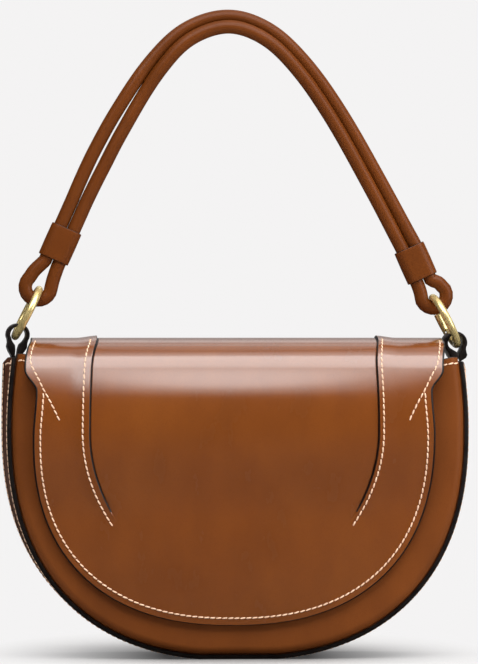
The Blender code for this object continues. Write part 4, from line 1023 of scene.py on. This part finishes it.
def flap_spots(x, h):
    """Points and normals of the flap's outer face: x from its middle line, h the height, which goes on
    along the arch above the front hinge."""
    x, h = np.broadcast_arrays(np.asarray(x, dtype=float), np.asarray(h, dtype=float))
    travel = np.clip(1.0 - (h - FRONT_HINGE_Z) / ARCH_LENGTH, 0.0, 1.0)
    arch, step = on_arch(travel), 0.004
    slope = unit(on_arch(np.minimum(travel + step, 1.0)) - on_arch(np.maximum(travel - step, 0.0)))
    above_it = np.stack([x, arch[:, 0] + SHIFT, arch[:, 1]], axis=1)
    arch_out = np.stack([0.0 * x, slope[:, 1], -slope[:, 0]], axis=1)
    z = np.minimum(h, FRONT_HINGE_Z)
    e = NEAR
    on_front = np.stack([x, flap_y(x, z), z], axis=1)
    lean_x = (flap_y(x + e, z) - flap_y(x - e, z)) / (2.0 * e)
    lean_z = (flap_y(x, z + e) - flap_y(x, z - e)) / (2.0 * e)
    front_out = unit(np.stack([lean_x, -1.0 + 0.0 * x, lean_z], axis=1))
    above = (h > FRONT_HINGE_Z)[:, None]
    point, out = np.where(above, above_it, on_front), np.where(above, arch_out, front_out)
    dart = dart_x(np.where(h > FRONT_HINGE_Z, arch[:, 1], z))
    past = np.abs(x) - dart
    lap = np.where(past > 0.0, 1.0 - smooth(past / DART_FADE), 0.0)
    lap = lap * onset(h, DART_LOW_Z, DART_ENTRY) * onset(travel, *DART_TRAVEL)
    point = point + out * (DART_RISE * lap)[:, None]
    point[:, 0] += hang(h)
    return point, out


def flap_row(x, h):
    """A smooth path on the flap through the points (x, h), with its normals."""
    line = through(np.stack([x, h], axis=1), np.linspace(0.0, 1.0, 30 * len(x)))
    return flap_spots(line[:, 0], line[:, 1])


print("faces in one stitch:", len(STITCH_FACES))

# %% Stitches on the flap
MARGIN = 3.7 * MM
EDGE_ROW_TOP = 147.0 * MM
DART_ROW_LEFT = 3.9 * MM
DART_ROW_RIGHT = 2.6 * MM
EAR_ROW_X = np.array([112.0, 112.3, 112.5, 112.3, 111.2, 108.0, 104.5, 100.6, 96.0]) * MM
EAR_ROW_H = np.array([186.0, 178.0, 170.0, 165.0, 161.0, 155.0, 148.0, 141.0, 131.5]) * MM
turn, low_z = low_edge(120)
low_x = FLAP_HALF * np.cos(turn) ** (2.0 / FLAP_ROUNDNESS)
up_z = np.linspace(EDGE_ROW_TOP, FLAP_MID_Z, 20)[:-1]
edge = np.stack([np.concatenate([flap_half(up_z), low_x]), np.concatenate([up_z, low_z])], axis=1)
edge = np.concatenate([edge, edge[-2::-1] * [-1.0, 1.0]])
ahead = unit(np.gradient(edge, axis=0))
inner_edge = edge + np.stack([ahead[:, 1], -ahead[:, 0]], axis=1) * MARGIN
inner_edge = resample(inner_edge, np.linspace(0.0, along(inner_edge)[-1], 500))
flap_rows = [flap_spots(inner_edge[:, 0], inner_edge[:, 1])]
dart_h = np.linspace(73.5, 186.0, 28) * MM
for sign, beside in ((-1.0, DART_ROW_LEFT), (1.0, DART_ROW_RIGHT)):
    flap_rows.append(flap_row(sign * EAR_ROW_X, EAR_ROW_H))
    dart_z = np.minimum(dart_h, CROWN_Z)
    flap_rows.append(flap_row(sign * (dart_x(dart_z) + beside), dart_h))
for piece in make_stitches("flap", flap_rows):
    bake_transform(piece)
    print(piece.name, len(piece.data.polygons))

# %% Stitches on the body
SEAM_IN = 3.5 * MM
BACK_SEAM_IN = 2.4 * MM
SEAM_DROP = 0.8 * MM


def grid_row(grid, cells):
    """A path over a grid, with its normals, through the grid's points that the index picks."""
    return grid[cells], normals_of(grid)[cells]


body_rows = []
for v in (share_of(SEAM_IN), FLANGE_V + share_of(BACK_SEAM_IN)):
    inset = under_flange(v) if v < 0.5 else 0.0
    three = np.array([v - 0.01, v, v + 0.01])
    strip = shaped_top(loft([(near, inset) for near in three], GUSSET_TOP - SEAM_DROP), three[:, None])
    body_rows.append(grid_row(strip, (1, slice(None))))
for column in (2, -3):
    body_rows.append(grid_row(front_grid, (slice(34, 46), column)))
    body_rows.append(grid_row(gusset_grid, (slice(1, 15), column)))
for piece in make_stitches("body", body_rows):
    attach(piece, "body")
    print(piece.name, len(piece.data.polygons))
root_rows = [
    grid_row(root_outer, (slice(1, 16), 3)),
    grid_row(root_outer, (1, slice(3, -3))),
    grid_row(root_outer, (slice(1, 16), -4)),
]
for piece in make_stitches("root", root_rows):
    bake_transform(piece)
    print(piece.name, len(piece.data.polygons))

# %% [markdown]
# ## Rings with spring gates
# Each ring is a round brass bar. A tenth of it is a gate that turns on a pin in a forked end and closes
# against the nose with a torsion spring. The bar could be a torus, but the gate needs real ends, so it is
# a circle carried along an arc, and its ends are slightly rounded.

# %% Bars along a path
RING_AT = {
    "left": np.array([-116.6 * MM, SHIFT, 190.8 * MM]),
    "right": np.array([116.6 * MM, SHIFT, 186.3 * MM]),
}
RING_R = 14.65 * MM
WIRE_R = 2.1 * MM
RING_LEAN = math.radians(27.0)
RING_TURN = math.radians(3.6)
GATE_FROM = math.radians(72.0)
GATE_TO = math.radians(110.0)
PIN_ANGLE = GATE_TO + 0.19
JOINT_GAP = 0.36 * MM
NOSE_MORE = 0.22
FORK_MORE = 0.09
GATE_LESS = 0.145
RING_SHARP = 35.0
END_ROUND = 0.35 * MM
FORK_SIZE, FORK_AT = (2.2 * MM, 8.0 * MM, 8.0 * MM), (0.0, -2.1 * MM, 0.0)
TONGUE_SIZE, TONGUE_AT = (0.85 * MM, 4.6 * MM, 2.8 * MM), (0.53 * MM, -1.1 * MM, 0.0)
CUT_ACROSS, CUT_LONG = (8.0 * MM, 9.0 * MM), 8.0 * MM
AXLE_R = 0.7 * MM
AXLE_X = np.linspace(-4.0, 4.0, 5) * MM


def frames_along(line, closed=False, first=(0.0, 1.0, 0.0)):
    """Two unit vectors across the line at each point, carried along it with the least turning."""
    ahead = np.roll(line, -1, axis=0) - np.roll(line, 1, axis=0)
    if not closed:
        ahead[0], ahead[-1] = line[1] - line[0], line[-1] - line[-2]
    ahead = unit(ahead)
    side = np.array(first, dtype=float)
    sides = []
    for tangent in ahead:
        side = unit(side - tangent * (side @ tangent))
        sides.append(side)
    sides = np.array(sides)
    return ahead, sides, np.cross(ahead, sides)


def bar(line, radius, around=28, closed=False, first=(0.0, 1.0, 0.0)):
    """Points and faces of a round bar: line + radius * (cos a * side + sin a * up), its ends rounded."""
    ahead, sides, ups = frames_along(line, closed, first)
    angle = np.linspace(0.0, 2.0 * math.pi, around, endpoint=False)
    circle = np.cos(angle)[None, :, None] * sides[:, None] + np.sin(angle)[None, :, None] * ups[:, None]
    points = line[:, None] + circle * radius
    if closed:
        points = np.concatenate([points, points[:1]])
    else:
        a = np.linspace(0.0, math.pi / 2.0, 5)[1:, None, None]
        ends = []
        for spot, way in ((0, -1.0), (-1, 1.0)):
            shape = line[spot] + circle[spot][None] * (radius - END_ROUND * (1.0 - np.cos(a)))
            shape = shape + way * ahead[spot] * END_ROUND * np.sin(a)
            cap = line[spot] + way * ahead[spot] * END_ROUND + 0.0 * circle[spot][None]
            ends.append(np.concatenate([shape, cap]))
        points = np.concatenate([ends[0][::-1], points, ends[1]])
    return points.reshape(-1, 3), quads_of(len(points), around, True)


def ring_point(angle):
    """A point of the ring in its own frame, the angle counted from its top towards the back."""
    angle = np.asarray(angle, dtype=float)
    return np.stack([0.0 * angle, RING_R * np.sin(angle), RING_R * np.cos(angle)], axis=-1)


def tilt_about_y(points, angle, centre):
    """The points turned about the Y axis and moved to the centre."""
    c, s = math.cos(angle), math.sin(angle)
    return points @ np.array([[c, 0.0, -s], [0.0, 1.0, 0.0], [s, 0.0, c]]) + centre


def turned_about_z(points, angle, centre):
    """The points turned about an upright line through the centre."""
    c, s = math.cos(angle), math.sin(angle)
    return (points - centre) @ np.array([[c, s, 0.0], [-s, c, 0.0], [0.0, 0.0, 1.0]]) + centre


print("ring wire points:", len(bar(ring_point(np.linspace(0.0, 5.0, 60)), WIRE_R)[0]))

# %% [markdown]
# The fork, the tongue and the flat joint faces are cut with Boolean modifiers, which are then applied, so
# that the finished pieces are plain meshes.

# %% Rings and gates


def block(size, centre, turn_x=0.0, at=(0.0, 0.0, 0.0)):
    """Corner points and faces of a box in the ring's frame: turned about X and moved to a point."""
    corners = np.array([(i, j, k) for i in (-1, 1) for j in (-1, 1) for k in (-1, 1)]) * np.array(size) / 2.0
    corners = corners + np.array(centre)
    c, s = math.cos(turn_x), math.sin(turn_x)
    turned = corners @ np.array([[1.0, 0.0, 0.0], [0.0, c, s], [0.0, -s, c]])
    faces = np.array([(0, 1, 3, 2), (4, 6, 7, 5), (0, 4, 5, 1), (2, 3, 7, 6), (0, 2, 6, 4), (1, 5, 7, 3)])
    return turned + np.array(at), faces


def carve(piece, tools):
    """Cuts from or joins to a mesh object each (operation, points, faces), and applies it."""
    for operation, points, faces in tools:
        tool = new_object("tool", points, faces)
        change = piece.modifiers.new("Carve", "BOOLEAN")
        change.operation = operation
        change.object = tool
        change.solver = "EXACT"
        bpy.context.view_layer.update()
        shaped = bpy.data.meshes.new_from_object(piece.evaluated_get(bpy.context.evaluated_depsgraph_get()))
        piece.modifiers.clear()
        old = piece.data
        piece.data = shaped
        bpy.data.meshes.remove(old)
        bpy.data.objects.remove(tool, do_unlink=True)


def build_ring(side, centre):
    """The open ring and its gate, shaped in the ring's own frame and then placed in their meshes."""
    turn_y = RING_LEAN if side == "left" else -RING_LEAN
    pin = ring_point(PIN_ANGLE)
    made = []
    for kind, start, end, steps in (
        ("ring", PIN_ANGLE - FORK_MORE, GATE_FROM + 2.0 * math.pi + NOSE_MORE, 110),
        ("gate", GATE_FROM - NOSE_MORE, PIN_ANGLE - GATE_LESS, 24),
    ):
        points, faces = bar(ring_point(np.linspace(start, end, steps)), WIRE_R, first=(1.0, 0.0, 0.0))
        made.append(make_piece(f"{side}_{kind}_brass", points, faces, brass, sharp=RING_SHARP))
    ring, gate = made
    chord = ring_point(GATE_FROM) - pin
    reach = float(np.linalg.norm(chord))
    lean_x = -math.atan2(chord[1], chord[2])
    high = reach + JOINT_GAP / 2.0
    low = reach - JOINT_GAP / 2.0
    from_pin = CUT_LONG / 2.0
    nose_at = (0.0, 0.0, (high + from_pin) / 2.0)
    nose_cut = block((*CUT_ACROSS, high - from_pin), nose_at, lean_x, pin)
    tip_cut = block((*CUT_ACROSS, CUT_LONG), (0.0, 0.0, low + from_pin), lean_x, pin)
    fork = block(FORK_SIZE, FORK_AT, -PIN_ANGLE, pin)
    tongue = block(TONGUE_SIZE, TONGUE_AT, -PIN_ANGLE, pin)
    axle = bar(np.array([pin + [x, 0.0, 0.0] for x in AXLE_X]), AXLE_R, 20)
    carve(ring, [("DIFFERENCE", *fork), ("DIFFERENCE", *nose_cut), ("DIFFERENCE", *axle)])
    carve(gate, [("DIFFERENCE", *tip_cut), ("UNION", *tongue), ("DIFFERENCE", *axle)])
    for piece in (ring, gate):
        spots = np.array([v.co for v in piece.data.vertices])
        spots = turned_about_z(tilt_about_y(spots, turn_y, centre), RING_TURN, centre)
        piece.data.vertices.foreach_set("co", spots.ravel())
        piece.data.shade_smooth()
        piece.data.set_sharp_from_angle(angle=math.radians(RING_SHARP))
        piece.data.update()
    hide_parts(f"{side}_ring")
    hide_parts(f"{side}_gate")
    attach(ring, f"{side}_ring")
    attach(gate, f"{side}_gate")
    return ring, gate


for side, centre in RING_AT.items():
    ring, gate = build_ring(side, centre)
    print(side, "ring faces:", len(ring.data.polygons), "gate faces:", len(gate.data.polygons))

# %% [markdown]
# ## Tabs
# A tab is a strip of leather folded round the ring's lower wire and sewn between the gusset and its lining.
# Seen from the front it is a black, painted drop shape with a little daylight inside. It could be cut from
# a plate, but a folded strip is what it is: a rounded rectangle carried along the fold.

# %% Strips carried along a fold
TAB_HALF_WIDTH = 6.5 * MM
TAB_T = 1.9 * MM
TAB_TURN = 0.09
TAB_PINCH = 1.4 * MM
TAB_HOLE_R = 4.45 * MM
TAB_HOLE_DROP = 12.12 * MM
TAB_HOLE_OUT = 5.3 * MM
TAB_CORNER = 0.5 * MM
TAB_SEWN_HALF = 0.22 * MM
TAB_PINCH_DROP = 7.2 * MM
TAB_PINCH_LONG = 2.4 * MM
TAB_SEWN = ((0.3 * MM, 141.0 * MM), (0.27 * MM, 153.0 * MM), (0.3 * MM, GUSSET_TOP - 1.0 * MM))
TAB_INSIDE = (1.0 * MM, 2.6 * MM)
TAB_ENTRY = 3.5 * MM
TAB_LIE = 4.0 * MM
TAB_FOOT = {"left": (1.1 * MM, 2.2 * MM), "right": (2.3 * MM, 1.7 * MM)}


def side_half(v, z):
    """Half-width of the gusset's outer face above the round base."""
    taper = lerp(FRONT_TAPER, BACK_TAPER, v) * ((z - SIDE_Z) / (GUSSET_TOP - SIDE_Z)) ** 2
    return lerp(FRONT_HALF, BACK_HALF, v) - taper - SINK * 4.0 * v * (1.0 - v)


def flare(z):
    """How fast the gusset widens from front to back at height z."""
    return (side_half(0.6, z) - side_half(0.4, z)) / (y_at(0.6, z) - y_at(0.4, z))


def strap_section(half_width, half_thickness):
    """A rounded rectangle as (across, through) pairs, and its paint, 1 on the two cut edges."""
    corner = min(TAB_CORNER, half_thickness * 0.95)
    made = []
    for cx, cy, start in ((1, 1, 0.0), (-1, 1, 0.5), (-1, -1, 1.0), (1, -1, 1.5)):
        for a in np.linspace(start, start + 0.5, 5) * math.pi:
            x = cx * (half_width - corner) + corner * math.cos(a)
            made.append((x, cy * (half_thickness - corner) + corner * math.sin(a)))
    made = np.array(made)
    return made, (np.abs(made[:, 0]) > half_width - corner * 0.9).astype(float)


def strap(line, across, half_width, thin):
    """Points, faces and paint of a strap: line + across * u + (ahead x across) * w, its ends closed."""
    through_it = unit(np.cross(unit(np.gradient(line, axis=0)), across))
    rows = []
    for spot, out, half in zip(line, through_it, thin):
        shape, mark = strap_section(half_width, half)
        rows.append(spot + shape[:, :1] * across + shape[:, 1:] * out)
    rows = np.array(rows)
    ends = [rows[0].mean(axis=0) + 0.0 * rows[0], rows[-1].mean(axis=0) + 0.0 * rows[-1]]
    rows = np.concatenate([[ends[0]], rows, [ends[1]]])
    marks = np.tile(mark, (len(rows), 1))
    return rows.reshape(-1, 3), quads_of(len(rows), rows.shape[1], True), marks.ravel()


def build_tab(side, centre):
    """The folded strip: up from the gusset, out round the wire, and back down beside itself."""
    sign = -1.0 if side == "left" else 1.0
    hx = abs(centre[0]) + TAB_HOLE_OUT
    hz = centre[2] - TAB_HOLE_DROP
    between = (GUSSET_T + LAP + GUSSET_T + 2.0 * GAP) / 2.0
    wall = side_half(0.5, GUSSET_TOP) - between
    reach = TAB_HOLE_R + TAB_T / 2.0
    fold = np.linspace(-0.5, math.pi + 0.62, 15)
    turns = [(hx + reach * math.cos(a), hz + reach * math.sin(a)) for a in fold]
    foot_out, foot_up = TAB_FOOT[side]
    outer_leg = [(wall + x, z) for x, z in TAB_SEWN] + [(wall + foot_out, GUSSET_TOP + foot_up)]
    inner_in, inner_up = TAB_INSIDE
    inner_leg = [(wall - inner_in, GUSSET_TOP + inner_up)] + [(wall - x, z) for x, z in TAB_SEWN[::-1]]
    flat = through(outer_leg + turns + inner_leg, np.linspace(0.0, 1.0, 110))
    height = flat[:, 1]
    half = lerp(TAB_SEWN_HALF, TAB_T / 2.0, smooth((height - GUSSET_TOP - 0.5 * MM) / TAB_ENTRY))
    half = half + TAB_PINCH * np.exp(-(((height - hz + TAB_PINCH_DROP) / TAB_PINCH_LONG) ** 2))
    line = np.stack([sign * flat[:, 0], np.full(len(flat), SHIFT), height], axis=1)
    points, faces, marks = strap(line, (0.0, 1.0, 0.0), TAB_HALF_WIDTH, half)
    rise = np.minimum(points[:, 2], GUSSET_TOP)
    lie = 1.0 - onset(points[:, 2], GUSSET_TOP, TAB_LIE)
    points[:, 0] += (points[:, 1] - SHIFT) * (sign * flare(rise) * lie - TAB_TURN * (1.0 - lie))
    # The tab's dark leather partly paints the shade that the folded loop lies in.
    tab = make_piece(f"{side}_tab_calf", points, faces, tab_leather_with_shade, marks, sharp=60.0)
    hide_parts(f"{side}_tab")
    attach(tab, "body")
    return tab


for side, centre in RING_AT.items():
    print(side, "tab vertices:", len(build_tab(side, centre).data.vertices))

# %% [markdown]
# ## Handle
# The handle is one endless cord of rolled leather. It goes up from one ring, over, down to the other and
# back, so two strands lie side by side and each end is an eye round its ring. Two sleeves, the keepers,
# pinch the strands together beside the rings.

# %% The cord's line
CORD_R = 3.75 * MM
KEEPER_AT = {
    "left": np.array([-98.2 * MM, 0.0, 229.3 * MM]),
    "right": np.array([100.4 * MM, 0.0, 218.7 * MM]),
}
KEEPER_LEAN = math.radians(24.0)
KEEPER_LENGTH = 19.0 * MM
KEEPER_T = 0.9 * MM
KEEPER_ROUND = 0.45 * MM
KEEPER_BELLY = 0.12 * MM
EYE_HALF = 7.2 * MM
STRAND_GAP = 0.15 * MM
STRAND_CLEAR = 0.06 * MM
EYE_CLEAR = 0.35 * MM
CORD_STEP = 1.6 * MM
CORD_FULL = 0.07 * MM
STRAND_AT = [0.0, 0.05, 0.12, 0.2, 0.28, 0.36, 0.5, 0.66, 0.8, 0.94, 1.0]
STRAND_APART = np.array([3.84, 3.85, 4.35, 4.25, 3.75, 3.3, 3.05, 3.1, 3.35, 3.6, 3.8]) * MM
EYE_SHIFT = 1.0 * MM
EYE_HEIGHTS = (KEEPER_LENGTH * 0.66, KEEPER_LENGTH * 0.33, 0.0, -2.2 * MM)
ARCH_X = np.array([-80.5, -65.3, -46.5, -27.5, -4.5, 17.5, 37.0, 56.5, 77.5]) * MM
ARCH_Z = np.array([268.5, 297.5, 326.8, 346.0, 353.4, 346.2, 327.8, 300.0, 263.0]) * MM


def keeper_axis(side):
    """The keeper's direction, up and towards the middle."""
    return np.array([math.sin(KEEPER_LEAN) * (1.0 if side == "left" else -1.0), 0.0, math.cos(KEEPER_LEAN)])


def eye_line(side, ring_centre, keeper):
    """Down one strand, half a circle under the ring's upper wire, and up the other strand."""
    sign = 1.0 if side == "left" else -1.0
    flat_ring = ring_centre * np.array([1.0, 0.0, 1.0])
    top = flat_ring + RING_R * np.array([sign * math.sin(RING_LEAN), 0.0, math.cos(RING_LEAN)])
    up = keeper_axis(side)
    start = keeper - up * (KEEPER_LENGTH / 2.0)
    axis = unit(start - top)
    out = np.array([-axis[2], 0.0, axis[0]]) * sign
    centre = top - axis * (WIRE_R + CORD_R + EYE_CLEAR) + out * EYE_SHIFT + axis * EYE_HALF
    spread = CORD_R + STRAND_GAP
    out_up = np.array([-up[2], 0.0, up[0]]) * sign
    length = float(np.dot(start - centre, axis))
    strands = []
    for way in (1.0, -1.0):
        strand = [start + up * h + way * out_up * spread for h in EYE_HEIGHTS]
        for share in (0.45, 0.2):
            strand.append(centre + axis * length * share + way * out * lerp(EYE_HALF, spread, share))
        strands.append(strand)
    outer, inner = strands
    turn = np.linspace(0.0, math.pi, 11)
    arc = [centre + EYE_HALF * (math.cos(a) * out - math.sin(a) * axis) for a in turn]
    return outer, arc, inner


eyes = [eye_line(side, RING_AT[side], KEEPER_AT[side]) for side in ("left", "right")]
(left_outer, left_arc, left_inner), (right_outer, right_arc, right_inner) = eyes
ends = [KEEPER_AT[side] + keeper_axis(side) * KEEPER_LENGTH / 2.0 for side in ("left", "right")]
arch_points = [ends[0][[0, 2]], *np.stack([ARCH_X, ARCH_Z], axis=1), ends[1][[0, 2]]]
travel = np.linspace(0.0, 1.0, 41)
middle = through(arch_points, travel)
forward = unit(np.gradient(middle, axis=0))
upward = np.stack([-forward[:, 1], forward[:, 0]], axis=1)
drop = np.interp(travel, STRAND_AT, STRAND_APART)
ahead_of = np.sqrt(np.maximum(0.0, (CORD_R + STRAND_CLEAR) ** 2 - drop**2))
upper, lower = (
    np.stack([middle[:, 0] + upward[:, 0] * far, side * ahead_of, middle[:, 1] + upward[:, 1] * far], axis=1)
    for side, far in ((1.0, drop), (-1.0, -drop))
)
path = list(upper) + right_outer + right_arc + right_inner[::-1] + list(lower[::-1])
path += left_inner + left_arc[::-1] + left_outer[::-1]
CLOSEST = 0.8 * MM
kept = [path[0]]
for spot in path[1:]:
    if np.linalg.norm(spot - kept[-1]) > CLOSEST:
        kept.append(spot)


def closed_curve(points, step):
    """A closed smooth curve through the points, with a point about every step."""
    pts = np.array(points)
    made = []
    for k in range(len(pts)):
        a, b, c, d = pts[k - 1], pts[k], pts[(k + 1) % len(pts)], pts[(k + 2) % len(pts)]
        count = max(1, round(np.linalg.norm(c - b) / step))
        made.append(between(a, b, c, d, (np.arange(count) / count)[:, None]))
    return np.concatenate(made)


cord_line = closed_curve(kept, CORD_STEP) + np.array([0.0, SHIFT, 0.0])
print("cord length mm:", round(float(along(cord_line)[-1]) / MM, 1))

# %% The cord
points, faces = bar(cord_line, CORD_R + CORD_FULL, 32, closed=True)
handle_cord = make_piece("handle_cord_calf", points, faces, cord_leather)
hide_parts("handle_cord")
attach(handle_cord, "handle")
print("cord vertices:", len(handle_cord.data.vertices))

# %% [markdown]
# A keeper is a short strip wrapped once round both strands, with painted ends. Its section is a stadium:
# two half circles joined by straights.

# %% Keepers


def stadium(half_length, radius, count=14):
    """Points of a stadium: a half circle at each end."""
    a = np.linspace(-math.pi / 2.0, math.pi / 2.0, count)
    right = np.stack([half_length + radius * np.cos(a), radius * np.sin(a)], axis=1)
    return np.concatenate([right, -right])


def build_keeper(side, centre):
    """A sleeve: outer and inner stadium joined by half-round painted ends."""
    turn_y = KEEPER_LEAN if side == "left" else -KEEPER_LEAN
    half = KEEPER_LENGTH / 2.0
    inside = CORD_R + GAP
    end = half - KEEPER_ROUND
    belly = [(z, KEEPER_BELLY * math.cos(math.pi * z / (2.0 * half))) for z in np.linspace(-end, end, 12)]
    profile = [(inside + KEEPER_T + full, z, 0.0) for z, full in belly]
    turn = np.linspace(math.pi / 2.0, 1.5 * math.pi, 7)[1:-1]
    for way, angles_here in ((1.0, turn), (-1.0, turn[::-1])):
        for a in angles_here:
            radius = inside + KEEPER_T / 2.0 * (1.0 + math.sin(a))
            profile.append((radius, way * (end - KEEPER_ROUND * math.cos(a)), 1.0))
        if way > 0.0:
            profile += [(inside, z, 0.0) for z in (end, 0.0, -end)]
    profile.append(profile[0])
    rows = []
    for radius, z, _ in profile:
        flat = stadium(CORD_R + STRAND_GAP, radius)
        rows.append(np.stack([flat[:, 0], flat[:, 1], np.full(len(flat), z)], axis=1))
    rows = np.array(rows)
    marks = np.repeat([p[2] for p in profile], rows.shape[1])
    points = tilt_about_y(rows.reshape(-1, 3), turn_y, centre + np.array([0.0, SHIFT, 0.0]))
    faces = quads_of(len(rows), rows.shape[1], True)
    keeper = make_piece(f"{side}_keeper_calf", points, faces, cord_leather, marks, 50.0)
    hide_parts(f"{side}_keeper")
    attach(keeper, "handle")
    return keeper


for side, centre in KEEPER_AT.items():
    print(side, "keeper vertices:", len(build_keeper(side, centre).data.vertices))

# %% [markdown]
# ## Floor, light and camera
# A plain studio with a pale floor and wall. The leather mirrors the lamps softly, so their sizes draw the
# bag's shape: one large light above in front with a weak low strip under it makes the bright band on the
# shoulder, a top and an edge light lie on the arch, and there is a light on the right, a faint one on the
# left and one behind. A long lens at the height of the flap's top shows hardly any perspective.
# The paper glows evenly to the camera, so a shadow shows only close to the base, reaching further forward.
# There the paper's colour is also darkened by ambient occlusion: a painted contact shadow.

# %% Floor and backdrop
MIRRORED_PAPER = 0.06
MIRRORED_WALL = 0.4
WALL_FROM, WALL_TO = 0.7, 1.8
LEFT_DIM, LEFT_FROM, LEFT_TO = 0.15, -1.2, -0.4
CONTACT = 0.09
SHADE = (0.012, 0.01, 0.009, 1.0)
PAPER = (0.72, 0.71, 0.7, 1.0)
SHADOW_FROM, SHADOW_TO, SHADOW_LEFT = 0.04, 0.15, 0.06
SHADOW_STRETCH = (1.0, 0.6, 1.0)
BACKGROUND = colour("f4f3f3")
backdrop, tree, shader, spot = new_material("pale_paper")
# Painted contact shadow: the paper's colour goes from PAPER to the dark SHADE where ambient occlusion finds
# the bag close by.
painted_contact_shade = node(tree, "ShaderNodeAmbientOcclusion", {"Distance": CONTACT})
open_share = ramp(tree, painted_contact_shade.outputs["AO"], 0.3, 0.95)
feed(tree, shader, {"Base Color": mix_colours(tree, open_share, SHADE, PAPER), "Roughness": 0.9})
seen = node(tree, "ShaderNodeLightPath").outputs
parts = node(tree, "ShaderNodeSeparateXYZ", {"Vector": spot}).outputs
mirrored = maths(tree, "MAXIMUM", seen["Is Glossy Ray"], seen["Is Transmission Ray"])
behind = ramp(tree, parts["Y"], WALL_FROM, WALL_TO, MIRRORED_PAPER, MIRRORED_WALL)
dim_side = ramp(tree, parts["X"], LEFT_FROM, LEFT_TO, LEFT_DIM, 1.0)
mirror_glow = maths(tree, "MULTIPLY", mirrored, maths(tree, "MULTIPLY", behind, dim_side))
glow = maths(tree, "MAXIMUM", maths(tree, "SUBTRACT", 1.0, mirrored), mirror_glow)
paper = node(tree, "ShaderNodeEmission", {"Color": BACKGROUND, "Strength": glow})
ahead = node(tree, "ShaderNodeVectorMath", {0: spot, 1: SHADOW_STRETCH}, operation="MULTIPLY")
away = node(tree, "ShaderNodeVectorMath", {0: ahead.outputs["Vector"]}, operation="LENGTH")
far = ramp(tree, away.outputs["Value"], SHADOW_FROM, SHADOW_TO, SHADOW_LEFT, 1.0)
straight = maths(tree, "MULTIPLY", seen["Is Camera Ray"], far)
share = maths(tree, "MAXIMUM", straight, mirrored)
sockets = {"Fac": share, 1: shader.outputs["BSDF"], 2: paper.outputs["Emission"]}
blended = node(tree, "ShaderNodeMixShader", sockets)
feed(tree, tree.nodes["Material Output"], {"Surface": blended.outputs["Shader"]})


def ground(half, depth, high, bend=0.5):
    """A floor that turns up into a wall: (x, y, z) with z = rise of a quarter circle behind the object."""
    turn = np.linspace(0.1, math.pi / 2.0, 12)
    y = np.concatenate([np.linspace(-half, depth, 20), depth + bend * np.sin(turn)])
    z = np.concatenate([np.zeros(20), bend * (1.0 - np.cos(turn))])
    y, z = np.append(y, y[-1]), np.append(z, high)
    x = np.array([-half, half])
    grid = np.stack(np.broadcast_arrays(x, y[:, None], z[:, None]), axis=-1)
    return grid.reshape(-1, 3), quads_of(len(y), 2)


points, faces = ground(9.0, 5.0, 7.0)
floor = new_object("studio_floor", points, faces, backdrop)
floor.data.shade_smooth()
floor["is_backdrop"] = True
print("floor faces:", len(faces))

# %% World and lamps
AROUND = 0.03
MIDDLE = (0.0, 0.0, 0.15)
UPPER = (0.0, 0.0, 0.16)
world = bpy.data.worlds.new("studio")
bpy.context.scene.world = world
world.use_nodes = True
tree = world.node_tree
lit = tree.nodes["Background"]
feed(tree, lit, {"Color": (1.0, 1.0, 1.0, 1.0), "Strength": AROUND})
shown = node(tree, "ShaderNodeBackground", {"Color": BACKGROUND})
seen = node(tree, "ShaderNodeLightPath").outputs
sockets = {"Fac": seen["Is Camera Ray"], 1: lit.outputs["Background"], 2: shown.outputs["Background"]}
blended = node(tree, "ShaderNodeMixShader", sockets)
feed(tree, tree.nodes["World Output"], {"Surface": blended.outputs["Shader"]})


def lamp(name, spot, target, size, power):
    """A rectangular light at a spot, facing a target."""
    data = bpy.data.lights.new(name, "AREA")
    data.shape = "RECTANGLE"
    data.size, data.size_y = size
    data.energy = power
    made = bpy.data.objects.new(name, data)
    made.location = spot
    made.rotation_euler = (Vector(target) - Vector(spot)).to_track_quat("-Z", "Y").to_euler()
    bpy.context.scene.collection.objects.link(made)
    return made


lamp("front_top_light", (0.15, -0.735, 1.27), UPPER, (2.2, 0.92), 34.5)
lamp("front_low_light", (0.15, -1.11, 0.895), UPPER, (2.2, 0.19), 1.3)
lamp("top_light", (0.0, 0.35, 1.4), MIDDLE, (1.8, 1.6), 7.0)
lamp("edge_light", (0.1, -0.22, 1.5), MIDDLE, (1.8, 0.45), 3.0)
lamp("back_light", (0.0, 1.5, 1.0), MIDDLE, (1.6, 0.4), 1.2)
lamp("right_light", (1.3, -0.72, 0.55), MIDDLE, (0.9, 1.0), 11.0)
lamp("left_light", (-1.6, -0.6, 0.5), MIDDLE, (0.6, 1.0), 0.4)

# %% Camera
AZIMUTH = math.radians(-2.4)
DISTANCE = 2.6
SENSOR = 36.0
PIXEL = 0.558 * MM
PIXELS_HIGH = 664.0
AIM = (1.56 * MM, SHIFT, 180.2 * MM)
camera_data = bpy.data.cameras.new("view")
camera_data.lens = SENSOR * DISTANCE / (PIXEL * PIXELS_HIGH)
camera_data.sensor_width = SENSOR
camera_data.clip_start = 0.1
camera_data.clip_end = 30.0
camera = bpy.data.objects.new("view", camera_data)
aim = Vector(AIM)
camera.location = aim + Vector((math.sin(AZIMUTH), -math.cos(AZIMUTH), 0.0)) * DISTANCE
camera.rotation_euler = (aim - camera.location).to_track_quat("-Z", "Y").to_euler()
bpy.context.scene.collection.objects.link(camera)
bpy.context.scene.camera = camera
bpy.context.scene.view_settings.view_transform = "Standard"
print("lens:", round(camera_data.lens, 1))

# %% [markdown]
# ## Size and finish
# Both the dressed bag and the frame are measured as boxes, and their difference is printed. The
# dressed bag has to stay as large as the frame.

# %% Finish
seen_low, seen_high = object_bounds()
grown = (seen_high - seen_low) - (cad_high - cad_low)
print("larger than the frame by mm:", [round(g / MM, 2) for g in grown])
